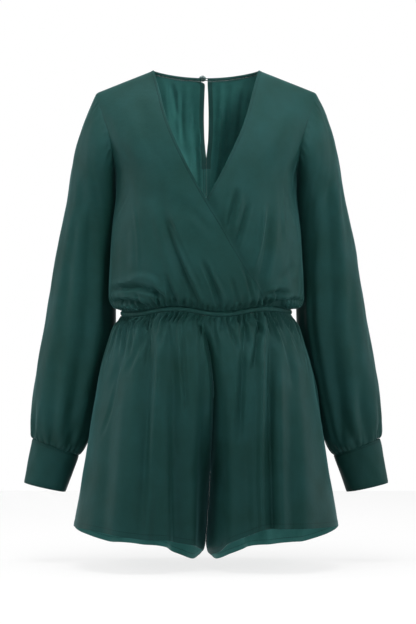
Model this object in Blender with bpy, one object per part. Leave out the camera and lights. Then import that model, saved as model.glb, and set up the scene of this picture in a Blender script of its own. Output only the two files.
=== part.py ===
"""A long-sleeved wrap-front romper in dark green crepe, filled out as if worn, with nobody in it.

The front faces -Y and the wearer's right is at -X. The origin lies midway between the shoulders, at the
height where the garment rests on them. Sizes are in millimetres until the meshes are made. A drop is
measured straight down from the neck points, which are the highest points of the garment.

Every panel is a wall of cloth on one of three smooth forms: the bodice, a leg of the shorts and a sleeve.
Panels that are sewn together lie SEAM_GAP apart."""
import math

import bmesh
import bpy
import numpy as np

for old in list(bpy.data.objects):
    bpy.data.objects.remove(old)

MM = 0.001
CLOTH = 1.2
SEAM_GAP = 0.3
WAIST_GAP = 0.6
LAP_CLEARANCE = 1.3
LAP_LOOSENESS = 2.2
LAP_LOOSE_FROM, LAP_LOOSE_TO = 230.0, 330.0

FRONT, BACK = -1, 1
RIGHT, LEFT = -1, 1
SIDE_NAMES = {RIGHT: "right", LEFT: "left"}

# Shoulders and neck
NECK_POINT_HEIGHT = 18.0
NECK_HALF_WIDTH = 85.0
BACK_NECK_DIP = 8.0
SHOULDER_SLOPE = 0.395
SHOULDER_POINT = 177.4
SHOULDER_DROP = SHOULDER_SLOPE * (SHOULDER_POINT - NECK_HALF_WIDTH)
SHOULDER_ROLL = 170.0
ROLL_POWER = 0.52
BINDING_WIDTH = 6.0
BINDING_THICKNESS = 2.0
BINDING_PROUD = 0.4
NECKLINE_DEPTH = BACK_NECK_DIP + SHOULDER_SLOPE * NECK_HALF_WIDTH / 2
NECKLINE_SPREAD = 0.737

# Armhole and side seam
UNDERARM_DROP = 174.0
ARMHOLE_ROWS = 8
FRONT_COLUMNS = 16
UNDER_COLUMNS = 11
BACK_SHOULDER_COLUMNS = 5
BACK_NECK_COLUMNS = 6

# Waist
BODICE_END = 386.0
CASING_HEIGHT = 7.5
CASING_THICKNESS = 2.6
CASING_STEPS = 44
WAVE_HEIGHT = 4.5
WAVE_LENGTH = 148.0
WAVE_LOW_POINT = 24.0
BACK_WAVE_HEIGHT = 1.8
BACK_WAVE_LENGTH = 150.0
WAVE_FADE = 80.0
WAVE_TURN = 0.4  # how far from the side seams, 0 to 1, the front wave has given way to the back one

# Shorts
SHORTS_TOP = BODICE_END + CASING_HEIGHT + 2 * WAIST_GAP
LEG_COLUMNS = 12
LEG_ROW_PARTS = (0, 0.012, 0.032, 0.066, 0.12, 0.195, 0.295, 0.4, 0.5, 0.6, 0.694, 0.79, 0.89, 1)

# Sleeves and cuffs
SLEEVE_COLUMNS = 16
CAP_ROWS = 6
CAP_FULLNESS = 0.36
CAP_FALL, CAP_SLOPE, CAP_DROP, CAP_BACK, CAP_SPREAD = 0.2, 1.75, 0.7, 0.2, 0.25
SLEEVE_DIRECTION = np.array([0.16, 0.3, -0.94])
ARM_CENTRE = np.array([190.0, 0.0, -125.0])
SLEEVE_CLEARANCE = 1.8
CUFF_ROWS = 2

# Keyhole, button and loop
SLIT_END = 136.0
FACING_WIDTH = 5.0
FACING_THICKNESS = 0.8
BUTTON_RADIUS = 5.6
BUTTON_THICKNESS = 2.6
BUTTON_DISH = 0.7
BUTTON_X = -6.2
BUTTON_DROP = 11.0
SHANK_RADIUS = 0.9
SHANK_OFFSET = -3.9
SHANK_LENGTH = 1.9
LOOP_RADIUS = 0.55
LOOP_POINTS = 22

BUTTON_EDGE = 0.6
BUTTON_RIM = 4.0
BUTTON_STEPS = 24
SHANK_STEPS = 12
LOOP_ANCHOR = 3.0

# How panels lie beside and over each other
UNDERARM_SPREAD = 25.0
LAP_MARGIN = 2.0
LAP_BLEND = 34.0
LEG_MIDDLE = 95.0

# How the meshes and finishes are made
STEP = 0.001  # part of a panel over which a slope is taken
SETTLE_ROUNDS = 6
MERGE = 0.00001
LEVEL = 0.000001  # a sine that counts as 0
SHARP_EDGE = math.radians(45)
CLOTH_ROUGHNESS = 0.55
BUTTON_ROUGHNESS = 0.35
CLOTH_COLOUR = (0.020, 0.078, 0.070)
INSIDE_COLOUR = (0.030, 0.098, 0.090)
BUTTON_COLOUR = (0.060, 0.090, 0.088)


def smooth_curve(key, value, at):
    """Reads a cubic curve through (key, value) that never overshoots between its points."""
    key, value = np.asarray(key, float), np.asarray(value, float)
    step = np.diff(key)
    slope = np.diff(value) / step
    tangent = np.zeros(len(key))
    tangent[0], tangent[-1] = slope[0], slope[-1]
    for i in range(1, len(key) - 1):
        if slope[i - 1] * slope[i] > 0:
            before = 2 * step[i] + step[i - 1]
            after = step[i] + 2 * step[i - 1]
            tangent[i] = (before + after) / (before / slope[i - 1] + after / slope[i])
    at = np.clip(at, key[0], key[-1])
    i = np.clip(np.searchsorted(key, at) - 1, 0, len(step) - 1)
    t = (at - key[i]) / step[i]
    s = 1 - t
    ends = value[i] * (1 + 2 * t) * s * s + value[i + 1] * t * t * (1 + 2 * s)
    return ends + step[i] * (tangent[i] * t * s * s - tangent[i + 1] * t * t * s)


class Table:
    """Rows of sizes with named columns; the first column says where each row lies."""

    def __init__(self, columns, rows):
        self.columns = columns
        self.rows = np.array(rows, float)

    def read(self, column, at):
        return smooth_curve(self.rows[:, 0], self.rows[:, self.columns.index(column)], at)


# The bodice: half its width and its depth before and behind the side seams. Squareness is 2 for an ellipse.
BODICE = Table(
    ("drop", "half_width", "front_depth", "back_depth", "squareness"),
    (
        (0, 194, 92, 88, 3.0),
        (36, 190, 98, 94, 3.0),
        (105, 174, 108, 102, 2.8),
        (174, 146.5, 116, 104, 2.3),
        (200, 146, 118, 102, 2.15),
        (240, 150.5, 118, 100, 2.1),
        (275, 154, 116, 100, 2.1),
        (310, 156, 114, 101, 2.05),
        (340, 157.5, 111, 102, 2.0),
        (362, 158, 107, 101, 2.0),
        (374, 156, 102, 98, 2.0),
        (382, 148, 95, 92, 2.0),
        (386, 137, 88, 88, 2.0),
    ),
)

# The armhole seam in the front view
ARMHOLE = Table(
    ("drop", "half_width"),
    (
        (36.5, 177.4),
        (57, 172),
        (79, 164.5),
        (105, 156),
        (132, 150),
        (154, 147.6),
        (169, 146.6),
        (174, 146.5),
    ),
)

# Rows of the bodice panels from the underarm to the waist, at the side and at the front edge
LOWER_ROWS = (205, 240, 275, 310, 340, 362, 374, 382, 386)
FRONT_EDGE_ROWS = (0, 5, 17, 36, 60, 88, 118, 146, 174)
BACK_EDGE_ROWS = (0, 5, 17, 36, 58, 82, 108, 136, 174)
FACING_ROWS = 7

# Neckline and lap edge of the front that laps over, from its own neck point to the waist
WRAP_EDGE = Table(
    ("drop", "across"),
    (
        (0, -85),
        (30, -76.5),
        (85, -61.8),
        (160, -29.3),
        (221, 4.8),
        (258, 27.6),
        (285, 42.8),
        (327, 68.8),
        (350, 84),
        (378, 96),
        (386, 98),
    ),
)

# Half the opening of the keyhole slit
SLIT = Table(
    ("drop", "half_width"),
    ((0, 2.2), (14, 2.2), (35, 3.0), (68, 3.9), (100, 3.3), (122, 1.5), (SLIT_END, 0.15), (400, 0.15)),
)
# The right edge runs out to the button at its top
SLIT_CORNER = Table(("drop", "further_out"), ((0, 6.3), (13, 6.3), (17, 0.6), (20, 0), (400, 0)))

# The shorts: half the width over both legs, how far a leg's oval reaches past the centre plane, and depths
SHORTS = Table(
    ("drop", "half_width", "overlap", "front_depth", "back_depth"),
    (
        (390, 136.5, 136.5, 88, 88),
        (396, 138, 136, 89, 89),
        (412, 150, 131, 94, 95),
        (443, 160, 112, 102, 105),
        (474, 169, 88, 109, 114),
        (534, 180, 50, 117, 126),
        (580, 188, 24, 120, 130),
        (610, 193, 11, 122, 131),
        (640, 197.5, 3, 123, 132),
        (660, 200.5, 0, 124, 132),
        (675, 203, -0.15, 124, 132),
        (735, 213.5, -0.2, 127, 133),
        (766, 216, -0.4, 128, 134),
        (780, 217, -4, 128, 134),
        (797, 218, -9, 128, 134),
    ),
)

# How far the centre seam and inseam sway towards the left
SWAY = Table(
    ("drop", "shift"),
    (
        (394, 0),
        (408, -4),
        (422, -2),
        (443, 3),
        (480, 9),
        (520, 12),
        (560, 11),
        (620, 8),
        (696, 4),
        (750, 0),
        (800, -3),
    ),
)

# Drop of the hems round a leg, from the side seam (0 degrees) to the inseam (180 degrees)
HEM = Table(
    ("turn", "front_right", "front_left", "back"),
    (
        (0, 736, 736, 736),
        (38, 736, 733, 760),
        (62, 740, 732, 774),
        (92, 747, 731, 780),
        (114, 750, 743, 784),
        (130, 756, 757, 792),
        (148, 764, 774, 797),
        (165, 772, 779, 788),
        (180, 777, 777, 777),
    ),
)

# Rings of a sleeve below its head: where its outer and inner edges lie in the front view, how deep it is
# and how far its middle is behind the side seams
SLEEVE = Table(
    ("ring", "outer_x", "outer_drop", "inner_x", "inner_drop", "half_depth", "middle"),
    (
        (0, 228, 215, 145, 228, 45, 22),
        (1, 237, 255, 147, 269, 48, 34),
        (2, 245, 291, 148, 307, 50, 44),
        (3, 253.5, 340, 148, 357, 51, 51),
        (4, 263, 395, 149, 412, 52, 55),
        (5, 273, 450, 158, 469, 52, 57),
        (6, 281, 500, 170, 522, 51, 58),
        (7, 286.5, 540, 181, 565, 49, 58),
        (8, 289, 572, 191.5, 599, 44, 57),
        (9, 288.5, 590, 200.5, 616, 37, 57),
        (10, 286, 598.5, 209, 625.9, 31, 57),
    ),
)

CUFF = Table(
    ("ring", "outer_x", "outer_drop", "inner_x", "inner_drop", "half_depth", "middle"),
    (
        (0, 286, 598.8, 209, 626.2, 31, 57),
        (1, 293, 635, 220, 656.5, 30, 57.5),
        (2, 299.6, 671, 230.5, 686.4, 29, 58),
    ),
)

# The largest folds of the bodice, as soft troughs along straight lines in the front or back view
FOLD_COLUMNS = ("face", "top_x", "top_drop", "end_x", "end_drop", "depth", "half_width")
FOLDS = (
    (FRONT, -50, 285, -28, 375, 2.6, 13),
    (FRONT, 4, 330, 20, 378, 2.2, 12),
    (FRONT, 96, 340, 126, 368, 2.6, 12),
    (FRONT, -130, 335, -92, 372, 3.0, 12),
    (BACK, -60, 300, -45, 376, 3.5, 12),
    (BACK, 55, 305, 48, 376, 3.5, 12),
)

FOLD_FADE = 0.2  # part of a fold's length over which it fades in and out at each end
FOLD_SIDE = 1.5  # how soon the folds reach their depth away from the side seams and shoulders

# Flutes of the shorts, which fall from the gathers along the columns of a panel; a negative depth is a
# ridge. Columns count from the side seam, and a fold may drift from one to the next on its way to the hem.
FLUTE_COLUMNS = ("side", "face", "top_column", "hem_column", "from_drop", "depth")
FLUTES = (
    (RIGHT, FRONT, 8.9, 8.4, 430, 7.0),
    (RIGHT, FRONT, 7.9, 7.3, 430, -3.0),
    (RIGHT, FRONT, 7.0, 6.3, 420, 4.5),
    (RIGHT, FRONT, 10.3, 9.8, 440, -3.0),
    (RIGHT, FRONT, 3.0, 3.0, 440, 3.5),
    (LEFT, FRONT, 6.5, 6.0, 420, 7.5),
    (LEFT, FRONT, 7.5, 7.0, 430, -4.0),
    (LEFT, FRONT, 9.4, 9.4, 400, 3.5),
    (LEFT, FRONT, 3.5, 3.5, 430, -3.0),
    (RIGHT, BACK, 3.0, 3.0, 420, 5.0),
    (RIGHT, BACK, 6.0, 6.0, 440, 6.0),
    (RIGHT, BACK, 4.5, 4.5, 460, -3.0),
    (RIGHT, BACK, 8.5, 9.0, 430, 5.0),
    (LEFT, BACK, 3.0, 3.5, 430, 5.0),
    (LEFT, BACK, 6.5, 6.0, 420, 6.0),
    (LEFT, BACK, 8.0, 7.5, 470, -3.0),
    (LEFT, BACK, 9.0, 9.5, 440, 5.0),
)
FLUTE_HALF_WIDTH = 1.15
FLUTE_GROWTH = 220.0

# Folds down the sleeves. Columns count round a sleeve from its outer edge, with 4 in front and 8 at its
# inner edge, and rows from the armhole to the cuff.
SLEEVE_FOLD_COLUMNS = ("side", "top_column", "end_column", "from_row", "to_row", "depth")
SLEEVE_FOLDS = (
    (RIGHT, 4.4, 5.0, 7.0, 14.5, 4.0),
    (RIGHT, 9.6, 10.0, 5.0, 12.0, 4.0),
    (RIGHT, 11.6, 11.1, 6.0, 13.0, 4.0),
    (RIGHT, 13.6, 14.1, 4.5, 11.5, 3.5),
    (LEFT, 3.1, 5.1, 5.0, 14.5, 4.5),
    (LEFT, 9.8, 9.3, 5.0, 12.5, 4.0),
    (LEFT, 11.5, 12.0, 6.0, 13.5, 4.0),
    (LEFT, 13.8, 13.3, 4.5, 12.0, 3.5),
)


def ease(t):
    """0 to 1, level at both ends."""
    t = np.clip(t, 0.0, 1.0)
    return t * t * (3 - 2 * t)


def shoulder_drop(x):
    """Drop of the shoulder line at x. Between the neck points it runs on as a low arch."""
    out = np.abs(x)
    beyond = SHOULDER_SLOPE * (out - NECK_HALF_WIDTH)
    arch = SHOULDER_SLOPE * (out**2 - NECK_HALF_WIDTH**2) / (2 * NECK_HALF_WIDTH)
    return np.where(out > NECK_HALF_WIDTH, beyond, arch)


def back_neckline(x, width):
    """How far below the shoulder line a line lies that runs the given width outside the back neck edge."""
    depth = NECKLINE_DEPTH + NECKLINE_SPREAD * width
    return np.maximum(depth * (1 - (x / (NECK_HALF_WIDTH + width)) ** 2), 0)


def waist_wave(x, facing):
    """How far the casing rides below its mean height. facing runs from -1 in front to 1 behind."""
    front = WAVE_HEIGHT * np.cos(2 * math.pi * (x - WAVE_LOW_POINT) / WAVE_LENGTH)
    back = BACK_WAVE_HEIGHT * np.cos(2 * math.pi * x / BACK_WAVE_LENGTH)
    behind = ease((facing + WAVE_TURN) / (2 * WAVE_TURN))
    return front * (1 - behind) + back * behind


def folds(x, drop, face):
    """How far the folds push the cloth in, at points of the front or back view."""
    total = np.zeros(np.broadcast(x, drop).shape)
    for row in FOLDS:
        fold = dict(zip(FOLD_COLUMNS, row))
        if fold["face"] != face:
            continue
        run_x = fold["end_x"] - fold["top_x"]
        run_drop = fold["end_drop"] - fold["top_drop"]
        length = math.hypot(run_x, run_drop)
        along = ((x - fold["top_x"]) * run_x + (drop - fold["top_drop"]) * run_drop) / length**2
        aside = ((x - fold["top_x"]) * run_drop - (drop - fold["top_drop"]) * run_x) / length
        shape = np.exp(-((aside / fold["half_width"]) ** 2))
        fade = ease((along + FOLD_FADE) / (2 * FOLD_FADE)) * ease((1 + FOLD_FADE - along) / (2 * FOLD_FADE))
        total = total + fold["depth"] * shape * fade
    return total


def bodice_x(angle, drop):
    sine = np.sin(angle)
    power = 2 / BODICE.read("squareness", drop)
    return BODICE.read("half_width", drop) * np.sign(sine) * np.abs(sine) ** power


def bodice_angle(x, drop):
    """Angle round the bodice of the point that the front view shows at x."""
    power = BODICE.read("squareness", drop) / 2
    ratio = np.clip(np.abs(x) / BODICE.read("half_width", drop), 0, 1)
    return np.sign(x) * np.arcsin(ratio**power)


def bodice(angle, drop, face):
    """Points of the filled-out bodice. angle runs from -90 degrees at the right side to 90 at the left."""
    column = "front_depth" if face == FRONT else "back_depth"
    x = bodice_x(angle, drop)
    across = np.abs(np.cos(angle)) ** (2 / BODICE.read("squareness", drop))
    below = np.clip(drop - shoulder_drop(x), 0, SHOULDER_ROLL)
    lift = np.sin(math.pi / 2 * below / SHOULDER_ROLL) ** ROLL_POWER
    facing = across * lift
    depth = BODICE.read(column, drop) * facing - folds(x, drop, face) * ease(facing * FOLD_SIDE)
    wave = waist_wave(x, face * across) * ease((drop - BODICE_END + WAVE_FADE) / WAVE_FADE)
    return np.stack([x, face * depth, -(drop + wave)], axis=-1)


def swayed(points):
    """Shifts the middle of the shorts sideways and leaves the side seams where they are."""
    moved = points.copy()
    drop = -points[..., 2]
    inside = 1 - np.clip(points[..., 0] / SHORTS.read("half_width", drop), -1, 1) ** 2
    moved[..., 0] += SWAY.read("shift", drop) * inside
    return moved


def flutes(u, drop, side, face):
    """How far the flutes push the shorts in, u across a panel from its side seam to its other edge."""
    total = np.zeros(u.shape)
    for row in FLUTES:
        flute = dict(zip(FLUTE_COLUMNS, row))
        if (flute["side"], flute["face"]) != (side, face):
            continue
        fallen = (drop - flute["from_drop"]) / FLUTE_GROWTH
        column = flute["top_column"] + (flute["hem_column"] - flute["top_column"]) * ease(fallen)
        aside = (u * LEG_COLUMNS - column) / FLUTE_HALF_WIDTH
        total = total + flute["depth"] * np.exp(-(aside**2)) * ease(fallen)
    return total


def leg(u, drop, side, face):
    """Points of a leg of the shorts. u runs from 0 at the side seam to 1 at the centre seam and inseam."""
    turn = u * leg_end_turn(drop)
    column = "front_depth" if face == FRONT else "back_depth"
    half, overlap = SHORTS.read("half_width", drop), SHORTS.read("overlap", drop)
    middle, reach = (half - overlap) / 2, (half + overlap) / 2
    x = side * (middle + reach * np.cos(turn))
    facing = np.sin(turn)
    depth = (SHORTS.read(column, drop) - flutes(u, drop, side, face)) * facing
    wave = waist_wave(x, face * facing) * ease((SHORTS_TOP + WAVE_FADE - drop) / WAVE_FADE)
    return np.stack([x, face * depth, -(drop + wave)], axis=-1)


def leg_end_turn(drop):
    """Where a leg's oval meets the centre plane, or pi below the crotch, where it is whole."""
    half, overlap = SHORTS.read("half_width", drop), SHORTS.read("overlap", drop)
    return np.arccos(np.clip((overlap - half) / (overlap + half), -1, 1))


def ring_point(table, ring, turn, side):
    """Points of a sleeve or cuff. turn is 0 at its outer edge, a quarter in front and a half inside."""
    size = {column: table.read(column, ring) for column in table.columns[1:]}
    cosine, sine = np.cos(turn), np.sin(turn)
    x = (size["outer_x"] * (1 + cosine) + size["inner_x"] * (1 - cosine)) / 2
    drop = (size["outer_drop"] * (1 + cosine) + size["inner_drop"] * (1 - cosine)) / 2
    return np.stack([side * x, size["middle"] - size["half_depth"] * sine, -drop], axis=-1)


def armhole_point(turn, side, beyond):
    """Points of the armhole seam, the given distance outside it. turn goes round as on a sleeve."""
    drop = SHOULDER_DROP + (UNDERARM_DROP - SHOULDER_DROP) * (1 - np.cos(turn)) / 2
    x = ARMHOLE.read("half_width", drop)
    angle = bodice_angle(x, drop)
    front, back = bodice(angle, drop, FRONT), bodice(angle, drop, BACK)
    point = np.where((np.sin(turn) >= 0)[..., None], front, back)
    point[..., 1] = np.where(np.abs(np.sin(turn)) < LEVEL, 0.0, point[..., 1])
    point[..., 0] += beyond
    point[..., 0] *= side
    return point


def sleeve_point(row, turn, side):
    """Points of a sleeve. Its head is a loft from the armhole to the first ring of the table."""
    ring = np.maximum(row - CAP_ROWS, 0.0)
    below = ring_point(SLEEVE, ring, turn, side)
    start = armhole_point(turn, side, SEAM_GAP)
    end = ring_point(SLEEVE, np.zeros_like(row), turn, side)
    span = np.linalg.norm(end - start, axis=-1, keepdims=True) * CAP_FULLNESS
    top, low = (1 + np.cos(turn)) / 2, (1 - np.cos(turn)) / 2
    outwards = 1 - CAP_DROP * low**2
    backwards = CAP_BACK * low**2 - CAP_SPREAD * np.sin(turn)
    downwards = CAP_FALL + CAP_SLOPE * top**3 + CAP_DROP * low**3
    leave = np.stack([side * outwards, backwards, -downwards], axis=-1)
    leave = leave / np.linalg.norm(leave, axis=-1, keepdims=True)
    arrive = SLEEVE_DIRECTION * np.array([side, 1, 1])
    t = np.clip(row / CAP_ROWS, 0, 1)[..., None]
    s = 1 - t
    head = s**3 * start + 3 * s * s * t * (start + leave * span)
    head = head + 3 * s * t * t * (end - arrive * span) + t**3 * end
    return np.where((row <= CAP_ROWS)[..., None], head, below)


def sleeve_folds(row, turn, side):
    """How far the folds push a sleeve in, at rows and turns of its wall."""
    total = np.zeros(row.shape)
    for entry in SLEEVE_FOLDS:
        fold = dict(zip(SLEEVE_FOLD_COLUMNS, entry))
        if fold["side"] != side:
            continue
        along = (row - fold["from_row"]) / (fold["to_row"] - fold["from_row"])
        column = fold["top_column"] + (fold["end_column"] - fold["top_column"]) * np.clip(along, 0, 1)
        aside = (turn - column + SLEEVE_COLUMNS / 2) % SLEEVE_COLUMNS - SLEEVE_COLUMNS / 2
        fade = ease((along + FOLD_FADE) / (2 * FOLD_FADE)) * ease((1 + FOLD_FADE - along) / (2 * FOLD_FADE))
        total = total + fold["depth"] * np.exp(-((aside / FLUTE_HALF_WIDTH) ** 2)) * fade
    return total


def clear_of_body(points, side):
    """Moves sleeve points outwards until they are clear of the bodice and the shorts."""
    x, y, drop = side * points[..., 0], points[..., 1], -points[..., 2]
    depth = np.where(y < 0, BODICE.read("front_depth", drop), BODICE.read("back_depth", drop))
    power = BODICE.read("squareness", drop)
    ratio = np.clip(np.abs(y) / depth, 0, 1)
    bodice_side = BODICE.read("half_width", drop) * (1 - ratio**power) ** (1 / power)
    half, overlap = SHORTS.read("half_width", drop), SHORTS.read("overlap", drop)
    leg_depth = np.where(y < 0, SHORTS.read("front_depth", drop), SHORTS.read("back_depth", drop))
    leg_ratio = np.clip(np.abs(y) / leg_depth, 0, 1)
    leg_side = (half - overlap) / 2 + (half + overlap) / 2 * np.sqrt(1 - leg_ratio**2)
    body_side = np.where(drop < SHORTS_TOP, bodice_side, leg_side)
    clearance = SEAM_GAP + (SLEEVE_CLEARANCE - SEAM_GAP) * ease((drop - UNDERARM_DROP) / UNDERARM_SPREAD)
    limit = np.where(drop < UNDERARM_DROP, 0, body_side + clearance)
    moved = points.copy()
    moved[..., 0] = side * np.maximum(x, limit)
    return moved


def wall_grids(surface, u, v, middle, sink=None, thickness=CLOTH):
    """Outer and inner points of a wall of cloth. surface(u, v) gives its outer side, middle(points) the
    points that its inner side faces, and sink(points) how far the whole wall lies below the surface."""
    u, v = np.meshgrid(u, v)
    outer = surface(u, v)
    along_u = surface(np.minimum(u + STEP, 1), v) - surface(np.maximum(u - STEP, 0), v)
    along_v = surface(u, np.minimum(v + STEP, 1)) - surface(u, np.maximum(v - STEP, 0))
    normal = np.cross(along_u, along_v)
    normal = normal / np.linalg.norm(normal, axis=-1, keepdims=True)
    if np.mean(np.sum(normal * (middle(outer) - outer), axis=-1)) < 0:
        normal = -normal
    if sink is not None:
        outer = outer + normal * sink(outer)[..., None]
    return outer, outer + normal * thickness


def keep_apart(points, side=None, face=None, gap=SEAM_GAP):
    """Keeps a panel on its own side of the centre plane, and before or behind the side seams."""
    points = points.copy()
    if side is not None:
        points[..., 0] = side * np.maximum(side * points[..., 0], gap / 2)
    if face is not None:
        points[..., 1] = face * np.maximum(face * points[..., 1], gap / 2)
    return points


def material(name, colour, roughness):
    made = bpy.data.materials.new(name)
    made.use_nodes = True
    shader = made.node_tree.nodes["Principled BSDF"]
    shader.inputs["Base Color"].default_value = (*colour, 1.0)
    shader.inputs["Roughness"].default_value = roughness
    shader.inputs["Metallic"].default_value = 0.0
    return made


def add_object(name, mesh, colour, roughness):
    piece = bpy.data.objects.new(name, mesh)
    bpy.context.scene.collection.objects.link(piece)
    mesh.materials.append(material(name + "_finish", colour, roughness))
    return piece


def to_metres(point):
    return (point[0] * MM, point[1] * MM, (point[2] + NECK_POINT_HEIGHT) * MM)


def add_wall(name, grids, closed=False, colour=CLOTH_COLOUR):
    """One closed body from two grids of points, row by row. A closed wall goes all the way round."""
    mesh = bpy.data.meshes.new(name)
    bm = bmesh.new()
    rows, columns = grids[0].shape[:2]
    outer, inner = [[[bm.verts.new(to_metres(p)) for p in row] for row in grid] for grid in grids]
    steps = range(columns if closed else columns - 1)
    for layer in (outer, inner):
        for r in range(rows - 1):
            for c in steps:
                n = (c + 1) % columns
                bm.faces.new((layer[r][c], layer[r][n], layer[r + 1][n], layer[r + 1][c]))
    for r in (0, rows - 1):
        for c in steps:
            n = (c + 1) % columns
            bm.faces.new((outer[r][c], outer[r][n], inner[r][n], inner[r][c]))
    if not closed:
        for c in (0, columns - 1):
            for r in range(rows - 1):
                bm.faces.new((outer[r][c], outer[r + 1][c], inner[r + 1][c], inner[r][c]))
    bmesh.ops.recalc_face_normals(bm, faces=bm.faces)
    bm.to_mesh(mesh)
    bm.free()
    mesh.shade_smooth()
    mesh.set_sharp_from_angle(angle=SHARP_EDGE)
    return add_object(name, mesh, colour, CLOTH_ROUGHNESS)


def bodice_axis(points):
    return points * np.array([0.0, 0.0, 1.0])


def outer_rows():
    """Drops of the panel rows along the armhole and the side seam."""
    turn = np.linspace(0, math.pi, ARMHOLE_ROWS + 1)
    armhole = SHOULDER_DROP + (UNDERARM_DROP - SHOULDER_DROP) * (1 - np.cos(turn)) / 2
    return np.concatenate([armhole, LOWER_ROWS])


ROW_PLACES = np.linspace(0, 1, len(outer_rows()))


def outer_edge(v):
    """Half width and drop of the armhole and side seam, v from the shoulder point to the waist."""
    drop = smooth_curve(ROW_PLACES, outer_rows(), v)
    armhole, seam = ARMHOLE.read("half_width", drop), BODICE.read("half_width", drop)
    return np.where(drop < UNDERARM_DROP, armhole, seam), drop


def shoulder_part(v):
    """1 at the shoulder seam, where rows follow its slope, and 0 from the underarm down."""
    return 1 - ease(v * (len(ROW_PLACES) - 1) / ARMHOLE_ROWS)


def settle_drop(angle, base, part, line):
    """Drop of a point that lies base below the given line, at the x that the angle gives at that drop."""
    drop = base
    for _ in range(SETTLE_ROUNDS):
        drop = base + line(bodice_x(angle, drop)) * part
    return drop


def front_panel(u, v, side):
    """A front from its armhole and side seam (u = 0) to its neckline and lap edge (u = 1)."""
    out_x, out_drop = outer_edge(v)
    part = shoulder_part(v)
    edge_drop = smooth_curve(ROW_PLACES, FRONT_EDGE_ROWS + LOWER_ROWS, v)
    edge_x = -side * WRAP_EDGE.read("across", edge_drop)
    out_angle, edge_angle = bodice_angle(side * out_x, out_drop), bodice_angle(edge_x, edge_drop)
    out_base = out_drop - shoulder_drop(out_x) * part
    edge_base = edge_drop - shoulder_drop(edge_x) * part
    angle = out_angle + (edge_angle - out_angle) * u
    base = out_base + (edge_base - out_base) * u
    return bodice(angle, settle_drop(angle, base, part, shoulder_drop), FRONT)


def slit_edge(drop, side):
    """x of the edge of the keyhole slit and of the centre back seam below it."""
    further = SLIT_CORNER.read("further_out", drop) if side == RIGHT else 0.0
    return side * (SLIT.read("half_width", drop) + further)


def back_panel(u, v, side):
    """A back from its armhole and side seam (u = 0) to the slit and centre seam (u = 1)."""
    seam = BINDING_WIDTH + SEAM_GAP
    out_x, out_drop = outer_edge(v)
    part = shoulder_part(v)

    def line(x):
        return shoulder_drop(x) + back_neckline(x, seam)

    edge_base = smooth_curve(ROW_PLACES, BACK_EDGE_ROWS + LOWER_ROWS, v)
    edge_drop = edge_base + line(0.0) * part
    out_base = out_drop - line(out_x) * part
    neck_x = NECK_HALF_WIDTH + seam
    out_angle = bodice_angle(side * out_x, out_drop)
    neck_angle = bodice_angle(side * neck_x, shoulder_drop(neck_x))
    edge_angle = bodice_angle(slit_edge(edge_drop, side), edge_drop)
    neck_place = BACK_SHOULDER_COLUMNS / (BACK_SHOULDER_COLUMNS + BACK_NECK_COLUMNS)
    shoulder_angle = out_angle + (neck_angle - out_angle) * u / neck_place
    inside = np.clip((u - neck_place) / (1 - neck_place), 0, 1)
    inside_angle = edge_angle + (neck_angle - edge_angle) * np.cos(math.pi / 2 * inside)
    angle = np.where(u < neck_place, shoulder_angle, inside_angle)
    base = out_base + (edge_base - out_base) * u
    return bodice(angle, settle_drop(angle, base, part, line), BACK)


def binding(u, v, side):
    """The neck binding from the shoulder seam (u = 0) to the slit (u = 1), v from the neck edge down."""
    width = v * BINDING_WIDTH
    neck_x = NECK_HALF_WIDTH + width
    neck_angle = bodice_angle(side * neck_x, shoulder_drop(neck_x))
    edge_drop = BACK_NECK_DIP + width
    edge_angle = bodice_angle(slit_edge(edge_drop, side), edge_drop)
    angle = edge_angle + (neck_angle - edge_angle) * np.cos(math.pi / 2 * u)

    def line(x):
        return shoulder_drop(x) + back_neckline(x, width)

    return bodice(angle, settle_drop(angle, np.zeros_like(angle), 1.0, line), BACK)


def places(columns):
    return np.linspace(0, 1, columns + 1)


def under_lap(points):
    """How far the front underneath lies inside the form: all the way where covered, and none beside it."""
    drop = -points[..., 2]
    beside = points[..., 0] - WRAP_EDGE.read("across", drop)
    loose = ease((drop - LAP_LOOSE_FROM) / (LAP_LOOSE_TO - LAP_LOOSE_FROM))
    below = CLOTH + LAP_CLEARANCE + LAP_LOOSENESS * loose
    return below * (1 - ease((beside - LAP_MARGIN) / LAP_BLEND))


def make_bodice():
    for side, columns, sink in ((RIGHT, FRONT_COLUMNS, None), (LEFT, UNDER_COLUMNS, under_lap)):
        grids = wall_grids(lambda u, v: front_panel(u, v, side), places(columns), ROW_PLACES,
                           bodice_axis, sink)
        add_wall("front_" + SIDE_NAMES[side], [keep_apart(grid, face=FRONT) for grid in grids])
    for side in (RIGHT, LEFT):
        columns = places(BACK_SHOULDER_COLUMNS + BACK_NECK_COLUMNS)
        grids = wall_grids(lambda u, v: back_panel(u, v, side), columns, ROW_PLACES, bodice_axis)
        grids = [keep_apart(grid, side, BACK) for grid in grids]
        add_wall("back_" + SIDE_NAMES[side], grids)
        make_facing(side, grids)
        band = wall_grids(lambda u, v: binding(u, v, side), places(BACK_NECK_COLUMNS), places(1),
                          bodice_axis, lambda points: np.full(points.shape[:-1], -BINDING_PROUD),
                          BINDING_THICKNESS)
        add_wall("neck_binding_" + SIDE_NAMES[side], [keep_apart(grid, side, BACK) for grid in band])


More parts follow.
